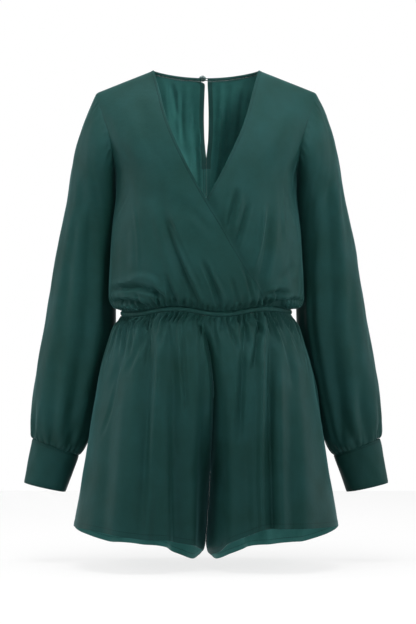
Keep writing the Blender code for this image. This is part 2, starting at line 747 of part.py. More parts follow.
def make_facing(side, back):
    """A strip on the inside of a back, made from the points along its slit, moved in."""
    outer, inner = [grid[: FACING_ROWS + 1] for grid in back]
    inward = (inner[:, -1:] - outer[:, -1:]) / CLOTH
    edge, before = inner[:, -1:], inner[:, -2:-1]
    across = (before - edge) / np.linalg.norm(before - edge, axis=-1, keepdims=True)
    strip = np.concatenate([edge + across * FACING_WIDTH, edge], axis=1)
    grids = strip + inward * SEAM_GAP, strip + inward * (SEAM_GAP + FACING_THICKNESS)
    grids = [keep_apart(grid, side) for grid in grids]
    add_wall("keyhole_facing_" + SIDE_NAMES[side], grids, colour=INSIDE_COLOUR)


def make_sleeves():
    rows = CAP_ROWS + len(SLEEVE.rows) - 1
    turns = np.arange(SLEEVE_COLUMNS) / SLEEVE_COLUMNS
    for side in (RIGHT, LEFT):

        def surface(u, v):
            return clear_of_body(sleeve_point(v * rows, u * 2 * math.pi, side), side)

        def cuff_surface(u, v):
            return ring_point(CUFF, v * CUFF_ROWS, u * 2 * math.pi, side)

        def middle(points):
            return np.broadcast_to(points.mean(axis=1, keepdims=True), points.shape)

        outer, inner = wall_grids(surface, turns, places(rows), middle)
        column, row = np.meshgrid(turns * SLEEVE_COLUMNS, places(rows) * rows)
        pressed = (inner - outer) / CLOTH * sleeve_folds(row, column, side)[..., None]
        outer, inner = outer + pressed, inner + pressed
        centre = ARM_CENTRE * np.array([side, 1, 1])
        inward = centre - outer[0]
        inner[0] = outer[0] + inward / np.linalg.norm(inward, axis=-1, keepdims=True) * CLOTH
        add_wall("sleeve_" + SIDE_NAMES[side], (outer, inner), closed=True)
        cuff = wall_grids(cuff_surface, turns, places(CUFF_ROWS), middle)
        add_wall("cuff_" + SIDE_NAMES[side], cuff, closed=True)


def make_casing():
    angle = 2 * math.pi * np.arange(CASING_STEPS) / CASING_STEPS
    grids = []
    for inset in (0.0, CASING_THICKNESS):
        half = BODICE.rows[-1, 1] - inset
        x, facing = half * np.sin(angle), -np.cos(angle)
        depth = np.where(facing < 0, BODICE.rows[-1, 2], BODICE.rows[-1, 3]) - inset
        wave = waist_wave(BODICE.rows[-1, 1] * np.sin(angle), facing)
        top = BODICE_END + WAIST_GAP + wave
        rows = [np.stack([x, facing * depth, -(top + CASING_HEIGHT * part)], axis=-1) for part in (0, 1)]
        grids.append(np.stack(rows))
    add_wall("waist_casing", grids, closed=True)


def shorts_panel(u, v, side, face, hem):
    """A front or back of the shorts from the side seam (u = 0) to the centre seam and inseam (u = 1)."""
    part = smooth_curve(places(len(LEG_ROW_PARTS) - 1), LEG_ROW_PARTS, v)
    drop = SHORTS_TOP + (HEM.read(hem, u * 180) - SHORTS_TOP) * part
    return leg(u, drop, side, face)


def make_shorts():
    for side in (RIGHT, LEFT):
        for face, place in ((FRONT, "front"), (BACK, "back")):
            hem = "back" if face == BACK else "front_" + SIDE_NAMES[side]

            def middle(points):
                return points * np.array([0.0, 0.0, 1.0]) + np.array([side * LEG_MIDDLE, 0.0, 0.0])

            grids = wall_grids(lambda u, v: shorts_panel(u, v, side, face, hem), places(LEG_COLUMNS),
                               places(len(LEG_ROW_PARTS) - 1), middle)
            grids = [swayed(keep_apart(grid, side, face)) for grid in grids]
            add_wall("shorts_" + place + "_" + SIDE_NAMES[side], grids)


def button_frame():
    """The middle of the button on the outside of the binding, and the directions across, out and down."""
    angle = bodice_angle(BUTTON_X, BUTTON_DROP)
    here = bodice(angle, BUTTON_DROP, BACK)
    down = bodice(angle, BUTTON_DROP + 1, BACK) - here
    down = down / np.linalg.norm(down)
    across = np.array([1.0, 0.0, 0.0])
    out = np.cross(across, down)
    out = out / np.linalg.norm(out)
    return here + out * BINDING_PROUD, across, out, down


def make_button():
    origin, across, out, down = button_frame()
    under = SEAM_GAP + SHANK_LENGTH
    profile = (
        (0.0, under),
        (BUTTON_RADIUS - BUTTON_EDGE, under),
        (BUTTON_RADIUS, under + BUTTON_EDGE),
        (BUTTON_RADIUS, under + BUTTON_THICKNESS - BUTTON_EDGE),
        (BUTTON_RADIUS - BUTTON_EDGE, under + BUTTON_THICKNESS),
        (BUTTON_RIM, under + BUTTON_THICKNESS - BUTTON_EDGE / 2),
        (BUTTON_RIM / 2, under + BUTTON_THICKNESS - BUTTON_DISH),
        (0.0, under + BUTTON_THICKNESS - BUTTON_DISH),
    )
    mesh = bpy.data.meshes.new("button")
    bm = bmesh.new()
    ring = [bm.verts.new(to_metres(origin + across * r + out * h)) for r, h in profile]
    edges = [bm.edges.new(pair) for pair in zip(ring, ring[1:])]
    bmesh.ops.spin(bm, geom=ring + edges, cent=to_metres(origin), axis=tuple(out), angle=2 * math.pi,
                   steps=BUTTON_STEPS, use_merge=True)
    bmesh.ops.remove_doubles(bm, verts=bm.verts, dist=MERGE)
    bmesh.ops.recalc_face_normals(bm, faces=bm.faces)
    bm.to_mesh(mesh)
    bm.free()
    button = add_object("button", mesh, BUTTON_COLOUR, BUTTON_ROUGHNESS)
    shank_mesh = bpy.data.meshes.new("button_shank")
    bm = bmesh.new()
    foot = origin + across * SHANK_OFFSET + out * SEAM_GAP
    rings = []
    for height in (0.0, SHANK_LENGTH + BUTTON_EDGE):
        turns = 2 * math.pi * np.arange(SHANK_STEPS) / SHANK_STEPS
        spokes = [across * math.cos(turn) + down * math.sin(turn) for turn in turns]
        points = [foot + out * height + SHANK_RADIUS * spoke for spoke in spokes]
        rings.append([bm.verts.new(to_metres(point)) for point in points])
        bm.faces.new(rings[-1])
    for i in range(SHANK_STEPS):
        n = (i + 1) % SHANK_STEPS
        bm.faces.new((rings[0][i], rings[0][n], rings[1][n], rings[1][i]))
    bmesh.ops.recalc_face_normals(bm, faces=bm.faces)
    bm.to_mesh(shank_mesh)
    bm.free()
    shank = bpy.data.objects.new("button_shank", shank_mesh)
    bpy.context.scene.collection.objects.link(shank)
    shank.hide_render = True
    shank.display_type = "WIRE"
    union = button.modifiers.new("shank", "BOOLEAN")
    union.operation = "UNION"
    union.solver = "EXACT"
    union.object = shank
    return button


def make_loop():
    """A cord from the left end of the binding, round the shank and back."""
    origin, across, out, down = button_frame()
    height = SEAM_GAP + LOOP_RADIUS
    hook = SHANK_RADIUS + SEAM_GAP + LOOP_RADIUS
    end = slit_edge(BUTTON_DROP, LEFT) - BUTTON_X + LOOP_ANCHOR
    path = [(end, -hook)]
    for i in range(LOOP_POINTS + 1):
        turn = math.pi * i / LOOP_POINTS
        path.append((SHANK_OFFSET - hook * math.sin(turn), -hook * math.cos(turn)))
    path.append((end, hook))
    curve = bpy.data.curves.new("button_loop", "CURVE")
    curve.dimensions = "3D"
    curve.bevel_depth = LOOP_RADIUS * MM
    curve.bevel_resolution = 2
    curve.use_fill_caps = True
    spline = curve.splines.new("POLY")
    spline.points.add(len(path) - 1)
    for point, (along, aside) in zip(spline.points, path):
        place = origin + across * along + out * height + down * aside
        point.co = (*to_metres(place), 1.0)
    return add_object("button_loop", curve, CLOTH_COLOUR, CLOTH_ROUGHNESS)


make_bodice()
make_sleeves()
make_casing()
make_shorts()
make_button()
make_loop()
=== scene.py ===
"""A long-sleeved wrap-front romper in dark green crepe, filled out as if worn, with nobody in it.

The front faces -Y and the wearer's right is at -X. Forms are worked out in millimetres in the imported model's
frame, with a drop measured straight down from the neck points, and turned into metres when a mesh is made.
Each panel is a thin shell on the same form as its solid, with its folds pressed into it."""

import math

import bmesh
import bpy
import numpy as np
from mathutils import Matrix, Vector


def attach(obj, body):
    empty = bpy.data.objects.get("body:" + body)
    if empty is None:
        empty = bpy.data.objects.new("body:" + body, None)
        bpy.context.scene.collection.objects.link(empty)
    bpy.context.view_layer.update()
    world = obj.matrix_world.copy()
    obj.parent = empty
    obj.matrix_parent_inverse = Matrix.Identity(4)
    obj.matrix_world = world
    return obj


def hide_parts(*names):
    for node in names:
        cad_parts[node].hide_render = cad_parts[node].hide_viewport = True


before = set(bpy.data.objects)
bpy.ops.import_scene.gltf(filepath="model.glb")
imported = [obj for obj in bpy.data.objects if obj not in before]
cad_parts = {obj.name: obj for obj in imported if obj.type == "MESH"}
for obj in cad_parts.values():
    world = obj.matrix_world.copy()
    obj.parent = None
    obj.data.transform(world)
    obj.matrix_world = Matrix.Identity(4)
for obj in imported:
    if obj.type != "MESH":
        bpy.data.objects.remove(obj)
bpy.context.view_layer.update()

MM = 0.001
CREPE = 0.9  # thickness of the shells
SEAM_GAP = 0.3
PANEL_GAP = 0.04
WAIST_GAP = 0.6

FRONT, BACK = -1, 1
RIGHT, LEFT = -1, 1
SIDE_NAMES = {RIGHT: "right", LEFT: "left"}
FACE_NAMES = {FRONT: "front", BACK: "back"}

# Shoulders and neck
NECK_POINT_HEIGHT = 18.0
NECK_HALF_WIDTH = 85.0
BACK_NECK_DIP = 8.0
SHOULDER_SLOPE = 0.395
SHOULDER_POINT = 177.4
SHOULDER_DROP = SHOULDER_SLOPE * (SHOULDER_POINT - NECK_HALF_WIDTH)
SHOULDER_ROLL = 170.0
ROLL_POWER = 0.52
BINDING_WIDTH = 6.0
BINDING_THICKNESS = 2.0
BINDING_PROUD = 0.4
BINDING_ROUND = 0.55
NECKLINE_DEPTH = BACK_NECK_DIP + SHOULDER_SLOPE * NECK_HALF_WIDTH / 2
NECKLINE_SPREAD = 0.737

# Armhole and side seam
UNDERARM_DROP = 174.0
ARMHOLE_ROWS = 8
SHOULDER_SHARE = 5 / 11  # of the columns of a back, from the armhole to the neck point

# Waist
BODICE_END = 386.0
CASING_HEIGHT = 7.5
CASING_THICKNESS = 5.0
CASING_GAP = 0.06
CASING_FACES = ((-2, 2.7, 1), (CASING_THICKNESS, -0.5, 0.2))  # inset, how far its edges turn in, share of ruching
RUCHE_DEPTH, RUCHE_HALF_WIDTH, RUCHE_APART = (0.35, 0.85), (1.4, 2.2), (5, 9)
HALF_WAIST = 358.0
WAVE_HEIGHT = 4.5
WAVE_LENGTH = 148.0
WAVE_LOW_POINT = 24.0
BACK_WAVE_HEIGHT = 1.8
BACK_WAVE_LENGTH = 150.0
WAVE_FADE = 80.0
WAVE_TURN = 0.4
WAIST_ARC = 114.0  # mm of waist to a radian

# Shorts
SHORTS_TOP = BODICE_END + CASING_HEIGHT + 2 * WAIST_GAP
LEG_ROW_PARTS = (0, 0.012, 0.032, 0.066, 0.12, 0.195, 0.295, 0.4, 0.5, 0.6, 0.694, 0.79, 0.89, 1)
LEG_MIDDLE = 95.0
LEG_ARC = 60.0  # mm of a leg's front or back to a radian

# Sleeves
CAP_ROWS = 6
CAP_FULLNESS = 0.36
CAP_FALL, CAP_SLOPE, CAP_DROP, CAP_BACK, CAP_SPREAD = 0.2, 1.75, 0.7, 0.2, 0.25
SLEEVE_DIRECTION = np.array([0.16, 0.3, -0.94])
ARM_CENTRE = np.array([190.0, 0.0, -125.0])
SLEEVE_CLEARANCE = 0.5
UNDERARM_SPREAD = 25.0

# Keyhole, button and loop
SLIT_END = 136.0
FACING_WIDTH = 7.5
FACING_THICKNESS = 0.8
FACING_CURL = 0.25
BUTTON_RADIUS = 5.6
BUTTON_THICKNESS = 2.6
BUTTON_X = -6.2
BUTTON_DROP = 11.0
BUTTON_ROUNDING = 0.45
SHANK_RADIUS = 0.9
SHANK_OFFSET = -3.9
SHANK_LENGTH = 1.9
SHANK_WAIST = (0.86, 0.86, 0.86)
SHARP = math.radians(40)
LOOP_RADIUS = 0.7
LOOP_SEWN_IN = 3.0

SETTLE_ROUNDS = 6
FLOOR_HEIGHT = -0.785


def smooth_curve(key, value, at):
    """Reads a cubic curve through (key, value) that never overshoots between its points."""
    key, value = np.asarray(key, float), np.asarray(value, float)
    step = np.diff(key)
    slope = np.diff(value) / step
    tangent = np.zeros(len(key))
    tangent[0], tangent[-1] = slope[0], slope[-1]
    for i in range(1, len(key) - 1):
        if slope[i - 1] * slope[i] > 0:
            before = 2 * step[i] + step[i - 1]
            after = step[i] + 2 * step[i - 1]
            tangent[i] = (before + after) / (before / slope[i - 1] + after / slope[i])
    at = np.clip(at, key[0], key[-1])
    i = np.clip(np.searchsorted(key, at) - 1, 0, len(step) - 1)
    t = (at - key[i]) / step[i]
    s = 1 - t
    ends = value[i] * (1 + 2 * t) * s * s + value[i + 1] * t * t * (1 + 2 * s)
    return ends + step[i] * (tangent[i] * t * s * s - tangent[i + 1] * t * t * s)


def unit(vectors):
    """Vectors of length 1 in the same directions."""
    return vectors / np.maximum(np.linalg.norm(vectors, axis=-1, keepdims=True), 1e-9)


def numbers(text):
    """The rows of numbers in a text."""
    return np.array([row.split() for row in text.strip().splitlines()], float)


class Table:
    """Sizes in named columns. The first column says where each row lies."""

    def __init__(self, text):
        heading, rows = text.strip().split("\n", 1)
        self.columns, self.rows = heading.split(), numbers(rows)

    def read(self, column, at):
        return smooth_curve(self.rows[:, 0], self.rows[:, self.columns.index(column)], at)


# The bodice: half its width and its depth before and behind the side seams. Squareness is 2 for an ellipse.
BODICE = Table("""
drop half_width front_depth back_depth squareness
0 194 92 88 3
36 190 98 94 3
105 174 108 102 2.8
174 146.5 116 104 2.3
200 146 118 102 2.15
240 150.5 118 100 2.1
275 154 116 100 2.1
310 156 114 101 2.05
340 157.5 111 102 2
362 158 107 101 2
374 156 102 98 2
382 148 95 92 2
386 137 88 88 2
""")

# The armhole seam in the front view
ARMHOLE = Table("""
drop half_width
36.5 177.4
57 172
79 164.5
105 156
132 150
154 147.6
169 146.6
174 146.5
""")

# Rows of the bodice panels from the underarm to the waist, at the side and at the front edge
LOWER_ROWS = (205, 240, 275, 310, 340, 362, 374, 382, 386)
FRONT_EDGE_ROWS = (0, 5, 17, 36, 60, 88, 118, 146, 174)
BACK_EDGE_ROWS = (0, 5, 17, 36, 58, 82, 108, 136, 174)

# Neckline and lap edge of the front that laps over, from its own neck point to the waist
WRAP_EDGE = Table("""
drop across
0 -85
30 -76.5
85 -61.8
160 -29.3
221 4.8
258 27.6
285 42.8
327 68.8
350 84
378 96
386 98
""")

# Half the opening of the keyhole slit
SLIT = Table(f"""
drop half_width
0 2.2
14 2.2
35 3
68 3.9
100 3.3
122 1.5
{SLIT_END} 0.02
400 0.02
""")
# The right edge runs out to the button at its top
SLIT_CORNER = Table("""
drop further_out
0 6.3
13 6.3
17 0.6
20 0
400 0
""")

# The shorts: half the width over both legs, how far a leg's oval reaches past the centre plane, and depths
SHORTS = Table("""
drop half_width overlap front_depth back_depth
390 136.5 136.5 88 88
396 138 136 89 89
412 150 131 94 95
443 160 112 102 105
474 169 88 109 114
534 180 50 117 126
580 188 24 120 130
610 193 11 122 131
640 197.5 3 123 132
660 200.5 0 124 132
675 203 0 124 132
735 213.5 0 127 133
762 216 -0.1 128 134
780 217 -4 128 134
797 218 -9 128 134
""")

# How far the centre seam and inseam sway towards the left
SWAY = Table("""
drop shift
394 0
408 -4
422 -2
443 3
480 9
520 12
560 11
620 8
696 4
750 0
800 -3
""")

# Drop of the hems round a leg, from the side seam (0 degrees) to the inseam (180 degrees)
HEM = Table("""
turn front_right front_left back
0 736 736 736
38 736 733 760
62 740 732 774
92 747 731 780
114 750 743 784
130 756 757 792
148 764 774 797
165 772 779 788
180 777 777 777
""")

# Rings of a sleeve below its head: where its outer and inner edges lie in the front view, how deep it is and
# how far its middle is behind the side seams
SLEEVE = Table("""
ring outer_x outer_drop inner_x inner_drop half_depth middle
0 228 215 145 228 45 22
1 237 255 147 269 48 34
2 245 291 148 307 50 44
3 253.5 340 148 357 51 51
4 263 395 149 412 52 55
5 273 450 158 469 52 57
6 281 500 170 522 51 58
7 286.5 540 181 565 49 58
8 289 572 191.5 599 44 57
9 288.5 590 200.5 616 37 57
10 286 598.5 209 625.9 31 57
""")

CUFF = Table("""
ring outer_x outer_drop inner_x inner_drop half_depth middle
0 286 598.8 209 626.2 31 57
1 293 635 220 656.5 30 57.5
2 299.6 671 230.5 686.4 29 58
""")


def ease(t):
    """0 to 1, level at both ends."""
    t = np.clip(t, 0.0, 1.0)
    return t * t * (3 - 2 * t)


def bell(t):
    """1 in the middle, falling away to both sides within about 2."""
    return np.exp(-(t**2))


def shoulder_drop(x):
    """Drop of the shoulder line at x. Between the neck points it runs on as a low arch."""
    out = np.abs(x)
    beyond = SHOULDER_SLOPE * (out - NECK_HALF_WIDTH)
    arch = SHOULDER_SLOPE * (out**2 - NECK_HALF_WIDTH**2) / (2 * NECK_HALF_WIDTH)
    return np.where(out > NECK_HALF_WIDTH, beyond, arch)


def back_neckline(x, width):
    """How far below the shoulder line a line lies that runs the given width outside the back neck edge."""
    depth = NECKLINE_DEPTH + NECKLINE_SPREAD * width
    return np.maximum(depth * (1 - (x / (NECK_HALF_WIDTH + width)) ** 2), 0)


def waist_wave(x, facing):
    """How far the casing rides below its mean height. facing runs from -1 in front to 1 behind."""
    front = WAVE_HEIGHT * np.cos(2 * math.pi * (x - WAVE_LOW_POINT) / WAVE_LENGTH)
    back = BACK_WAVE_HEIGHT * np.cos(2 * math.pi * x / BACK_WAVE_LENGTH)
    behind = ease((facing + WAVE_TURN) / (2 * WAVE_TURN))
    return front * (1 - behind) + back * behind


def bodice_x(angle, drop):
    sine = np.sin(angle)
    power = 2 / BODICE.read("squareness", drop)
    return BODICE.read("half_width", drop) * np.sign(sine) * np.abs(sine) ** power


def bodice_angle(x, drop):
    """Angle round the bodice of the point that the front view shows at x."""
    power = BODICE.read("squareness", drop) / 2
    ratio = np.clip(np.abs(x) / BODICE.read("half_width", drop), 0, 1)
    return np.sign(x) * np.arcsin(ratio**power)


def bodice(angle, drop, face):
    """Points of the filled-out bodice. angle runs from -90 degrees at the right side seam to 90 at the left."""
    x = bodice_x(angle, drop)
    across = np.abs(np.cos(angle)) ** (2 / BODICE.read("squareness", drop))
    below = np.clip(drop - shoulder_drop(x), 0, SHOULDER_ROLL)
    lift = np.sin(math.pi / 2 * below / SHOULDER_ROLL) ** ROLL_POWER
    depth = BODICE.read(FACE_NAMES[face] + "_depth", drop) * across * lift
    wave = waist_wave(x, face * across) * ease((drop - BODICE_END + WAVE_FADE) / WAVE_FADE)
    return np.stack([x, face * depth, -(drop + wave)], axis=-1)


def leg_oval(drop):
    """How far out the middle of a leg's oval lies, and how far it reaches either way."""
    half, overlap = SHORTS.read("half_width", drop), SHORTS.read("overlap", drop)
    return (half - overlap) / 2, (half + overlap) / 2


def leg_end_turn(drop):
    """Where a leg's oval meets the centre plane, or pi below the crotch, where it is whole."""
    middle, reach = leg_oval(drop)
    return np.arccos(np.clip(-middle / reach, -1, 1))


def leg(u, drop, side, face):
    """Points of a leg of the shorts. u runs from 0 at the side seam to 1 at the centre seam and inseam."""
    turn = u * leg_end_turn(drop)
    middle, reach = leg_oval(drop)
    x = side * (middle + reach * np.cos(turn))
    facing = np.sin(turn)
    wave = waist_wave(x, face * facing) * ease((SHORTS_TOP + WAVE_FADE - drop) / WAVE_FADE)
    return np.stack([x, face * SHORTS.read(FACE_NAMES[face] + "_depth", drop) * facing, -(drop + wave)], axis=-1)


def swayed(points):
    """Shifts the middle of the shorts sideways and leaves the side seams where they are."""
    moved = points.copy()
    drop = -points[..., 2]
    inside = 1 - np.clip(points[..., 0] / SHORTS.read("half_width", drop), -1, 1) ** 2
    moved[..., 0] += SWAY.read("shift", drop) * inside
    return moved


def ring_point(table, ring, turn, side):
    """Points of a sleeve or cuff. turn is 0 at its outer edge, a quarter in front and a half at its inner."""
    sizes = (table.read(column, ring) for column in table.columns[1:])
    outer_x, outer_drop, inner_x, inner_drop, half_depth, middle = sizes
    cosine = np.cos(turn)
    x = (outer_x * (1 + cosine) + inner_x * (1 - cosine)) / 2
    drop = (outer_drop * (1 + cosine) + inner_drop * (1 - cosine)) / 2
    return np.stack([side * x, middle - half_depth * np.sin(turn), -drop], axis=-1)


def armhole_drop(turn):
    return SHOULDER_DROP + (UNDERARM_DROP - SHOULDER_DROP) * (1 - np.cos(turn)) / 2


def armhole_point(turn, side):
    """Points of the armhole seam, just outside it. turn goes round as on a sleeve."""
    drop = armhole_drop(turn)
    x = ARMHOLE.read("half_width", drop)
    angle = bodice_angle(x, drop)
    front, back = bodice(angle, drop, FRONT), bodice(angle, drop, BACK)
    point = np.where((np.sin(turn) >= 0)[..., None], front, back)
    point[..., 1] = np.where(np.abs(np.sin(turn)) < 1e-6, 0.0, point[..., 1])
    point[..., 0] = side * (point[..., 0] + PANEL_GAP)
    return point


def sleeve_point(row, turn, side):
    """Points of a sleeve. Its head is a loft from the armhole to the first ring of the table."""
    ring = np.maximum(row - CAP_ROWS, 0.0)
    below = ring_point(SLEEVE, ring, turn, side)
    start = armhole_point(turn, side)
    end = ring_point(SLEEVE, np.zeros_like(row), turn, side)
    span = np.linalg.norm(end - start, axis=-1, keepdims=True) * CAP_FULLNESS
    top, low = (1 + np.cos(turn)) / 2, (1 - np.cos(turn)) / 2
    outwards = 1 - low**2
    backwards = CAP_BACK * low**2 - CAP_SPREAD * np.sin(turn)
    downwards = CAP_FALL + CAP_SLOPE * top**3 + CAP_DROP * low**3
    leave = unit(np.stack([side * outwards, backwards, -downwards], axis=-1))
    arrive = SLEEVE_DIRECTION * np.array([side, 1, 1])
    t = np.clip(row / CAP_ROWS, 0, 1)[..., None]
    s = 1 - t
    head = s**3 * start + 3 * s * s * t * (start + leave * span)
    head = head + 3 * s * t * t * (end - arrive * span) + t**3 * end
    return np.where((row <= CAP_ROWS)[..., None], head, below)


def clear_of_body(points, side):
    """Moves sleeve points outwards until they are clear of the bodice and the shorts."""
    x, y, drop = side * points[..., 0], points[..., 1], -points[..., 2]
    ratios = []
    for table in (BODICE, SHORTS):
        depth = np.where(y < 0, table.read("front_depth", drop), table.read("back_depth", drop))
        ratios.append(np.clip(np.abs(y) / depth, 0, 1))
    power = BODICE.read("squareness", drop)
    bodice_side = BODICE.read("half_width", drop) * (1 - ratios[0] ** power) ** (1 / power)
    middle, reach = leg_oval(drop)
    leg_side = middle + reach * np.sqrt(1 - ratios[1] ** 2)
    body_side = np.where(drop < SHORTS_TOP, bodice_side, leg_side)
    clearance = PANEL_GAP + (SLEEVE_CLEARANCE - PANEL_GAP) * ease((drop - UNDERARM_DROP) / UNDERARM_SPREAD)
    limit = np.where(drop < UNDERARM_DROP, 0, body_side + clearance)
    moved = points.copy()
    moved[..., 0] = side * np.maximum(x, limit)
    return moved


def keep_apart(points, side=None, face=None):
    """Keeps a panel on its own side of the centre plane, and before or behind the side seams."""
    points = points.copy()
    for axis, sign in enumerate((side, face)):
        if sign:
            points[..., axis] = sign * np.maximum(sign * points[..., axis], PANEL_GAP / 2)
    return points


def outer_rows():
    """Drops of the panel rows along the armhole and the side seam."""
    return np.concatenate([armhole_drop(np.linspace(0, math.pi, ARMHOLE_ROWS + 1)), LOWER_ROWS])


ROW_PLACES = np.linspace(0, 1, len(outer_rows()))


def outer_edge(v):
    """Half width and drop of the armhole and side seam, v from the shoulder point to the waist."""
    drop = smooth_curve(ROW_PLACES, outer_rows(), v)
    armhole, seam = ARMHOLE.read("half_width", drop), BODICE.read("half_width", drop)
    return np.where(drop < UNDERARM_DROP, armhole, seam), drop


def shoulder_part(v):
    """1 at the shoulder seam, where rows follow its slope, and 0 from the underarm down."""
    return 1 - ease(v * (len(ROW_PLACES) - 1) / ARMHOLE_ROWS)


def settle_drop(angle, base, part, line):
    """Drop of a point that lies base below the given line, at the x that the angle gives at that drop."""
    drop = base
    for _ in range(SETTLE_ROUNDS):
        drop = base + line(bodice_x(angle, drop)) * part
    return drop


def front_panel(u, v, side):
    """A front from its armhole and side seam (u = 0) to its neckline and lap edge (u = 1)."""
    out_x, out_drop = outer_edge(v)
    part = shoulder_part(v)
    edge_drop = smooth_curve(ROW_PLACES, FRONT_EDGE_ROWS + LOWER_ROWS, v)
    edge_x = -side * WRAP_EDGE.read("across", edge_drop)
    out_angle, edge_angle = bodice_angle(side * out_x, out_drop), bodice_angle(edge_x, edge_drop)
    out_base = out_drop - shoulder_drop(out_x) * part
    edge_base = edge_drop - shoulder_drop(edge_x) * part
    angle = out_angle + (edge_angle - out_angle) * u
    base = out_base + (edge_base - out_base) * u
    return bodice(angle, settle_drop(angle, base, part, shoulder_drop), FRONT)


def slit_edge(drop, side):
    """x of the edge of the keyhole slit and of the centre back seam below it."""
    further = SLIT_CORNER.read("further_out", drop) if side == RIGHT else 0.0
    return side * (SLIT.read("half_width", drop) + further)


def neck_end(width, side):
    """Angle of the neck end of the shoulder seam, the given width outside the neck edge."""
    neck_x = NECK_HALF_WIDTH + width
    return bodice_angle(side * neck_x, shoulder_drop(neck_x))


def back_panel(u, v, side):
    """A back from its armhole and side seam (u = 0) to the slit and centre seam (u = 1)."""
    seam = BINDING_WIDTH + SEAM_GAP
    out_x, out_drop = outer_edge(v)
    part = shoulder_part(v)

    def line(x):
        return shoulder_drop(x) + back_neckline(x, seam)

    edge_base = smooth_curve(ROW_PLACES, BACK_EDGE_ROWS + LOWER_ROWS, v)
    edge_drop = edge_base + line(0.0) * part
    out_base = out_drop - line(out_x) * part
    out_angle, neck_angle = bodice_angle(side * out_x, out_drop), neck_end(seam, side)
    edge_angle = bodice_angle(slit_edge(edge_drop, side), edge_drop)
    shoulder_angle = out_angle + (neck_angle - out_angle) * u / SHOULDER_SHARE
    inside = np.clip((u - SHOULDER_SHARE) / (1 - SHOULDER_SHARE), 0, 1)
    inside_angle = edge_angle + (neck_angle - edge_angle) * np.cos(math.pi / 2 * inside)
    angle = np.where(u < SHOULDER_SHARE, shoulder_angle, inside_angle)
    base = out_base + (edge_base - out_base) * u
    return bodice(angle, settle_drop(angle, base, part, line), BACK)


def binding(u, v, side):
    """The neck binding from the shoulder seam (u = 0) to the slit (u = 1), v from the neck edge down."""
    width = v * BINDING_WIDTH
    edge_drop = BACK_NECK_DIP + width
    edge_angle = bodice_angle(slit_edge(edge_drop, side), edge_drop)
    angle = edge_angle + (neck_end(width, side) - edge_angle) * np.cos(math.pi / 2 * u)

    def line(x):
        return shoulder_drop(x) + back_neckline(x, width)

    return bodice(angle, settle_drop(angle, np.zeros_like(angle), 1.0, line), BACK)


# The main folds, as soft troughs along lines in the front or back view: x and drop of both ends, bow, depth and
# half width. A negative depth is a ridge. A bow above 0 moves the middle of a line that runs down towards +x,
# and of one that runs towards +x upwards.
CREASES = {
    "over": """
-66 240 -22 376 -3 4.8 7.5
-54 268 -8 366 -2 -2.4 3.5
-40 318 -12 380 -1 3.8 3.6
-2 318 22 384 2 4.6 3.8
8 330 30 372 1 -2 3.2
-64 336 -49 384 0 4 3.4
-84 350 -74 382 0 2.8 3
-146 354 -68 368 9 7 4.4
-120 338 -74 350 7 -3.2 5
-150 375 -92 386 5 7 4
-115 226 -108 322 3 -0.8 2.6
-127 262 -128 318 0 1.8 6
60 322 72 368 1 3.2 2.6
68 318 82 356 1 -1.5 2.6
40 340 52 382 0 3 3.2
-58 250 -50 262 0 1.8 3
-20 236 4 262 0 1.4 6
-92 200 -20 236 -6 1.6 13
-143 236 -123 199 0 0.9 1.8
-104 60 -84 150 0 1.6 14
""",
    "under": """
48 204 33 264 1 5 4
38 198 26 246 0 -1.6 3.5
65 224 46 290 1 4.4 3.4
57 212 42 268 0 -1.8 3.4
101 236 86 346 3 5.4 6
93 232 73 328 2 -2.8 3.2
120 196 127 280 0 -1 2.6
98 366 130 360 3 5 3.8
106 385 151 373 4 5.4 4
118 340 142 318 0 2.4 6
141 286 135 342 0 1.6 4
143 236 123 199 0 0.9 1.8
104 60 86 150 0 1.6 14
""",
    "back": """
-56 22 -46 72 0 -2.8 4
-66 24 -60 120 0 2.6 6
-42 40 -40 100 0 -2.2 3.2
-32 26 -30 120 0 2.4 4.5
-20 50 -22 86 0 -2.6 3
-19 100 -15 196 0 -4.6 4.2
-9 44 -11 150 0 2 3
24 14 11 192 3 3.6 4
33 60 26 176 0 -3.8 4.5
44 20 39 76 0 2.4 4
60 26 52 116 0 -2.4 4
-60 296 -45 378 0 6 8
55 300 48 378 0 6 8
-108 312 -92 376 0 5 7
112 318 90 376 0 5.2 7
-20 322 -12 382 0 4.4 5
22 330 18 382 0 3.6 4
-146 352 -104 368 7 4.6 5
148 350 106 366 -7 4.6 5
-120 176 -84 250 0 3.4 12
118 180 90 262 0 3.2 12
-96 250 -78 330 0 -2.4 8
84 240 74 320 0 -2.4 8
""",
    "shorts_front": """
-56 462 -45 820 4 9 9
-91 414 -98 700 0 6 10
-70 412 -94 790 -3 -4.2 6
-14 440 -24 820 -2 -5 8
-123 490 -138 800 0 -3.4 12
-150 520 -172 820 0 3.6 10
-38 430 -31 550 0 3 3.2
-63 393 -72 440 0 4.2 3.6
-96 400 -121 480 3 3.6 4
-124 402 -150 505 3 3 4.5
-143 490 -165 582 2 1.5 2.2
104 430 108 820 -4 10 8
92 405 97 820 -6 -5 5.5
63 394 50 590 0 4.8 4.6
84 412 76 474 0 4.6 3.8
36 470 42 820 0 -3.8 9
62 560 66 820 0 3.6 9
152 490 162 820 0 -3.6 13
118 400 138 505 3 3.2 4.5
134 520 138 820 0 3 8
""",
    "shorts_back": """
-150 430 -168 820 0 6 11
-126 430 -138 820 0 -4 10
-98 400 -106 820 3 8.5 10
-72 440 -78 820 0 -4 10
-46 400 -52 820 -3 8 9
-20 460 -24 820 0 -3.6 9
24 450 22 820 0 -3.6 9
50 410 56 820 3 8 10
78 430 80 820 0 -4 10
102 400 108 820 -3 8.5 10
130 440 140 820 0 -4 11
152 430 172 820 0 6 11
""",
}
CREASE_FADE = 0.2  # of a fold's length, over which it fades in and out at each end
CREASE_LIP = 0.32
LIP_PLACE, LIP_WIDTH = 1.9, 0.8

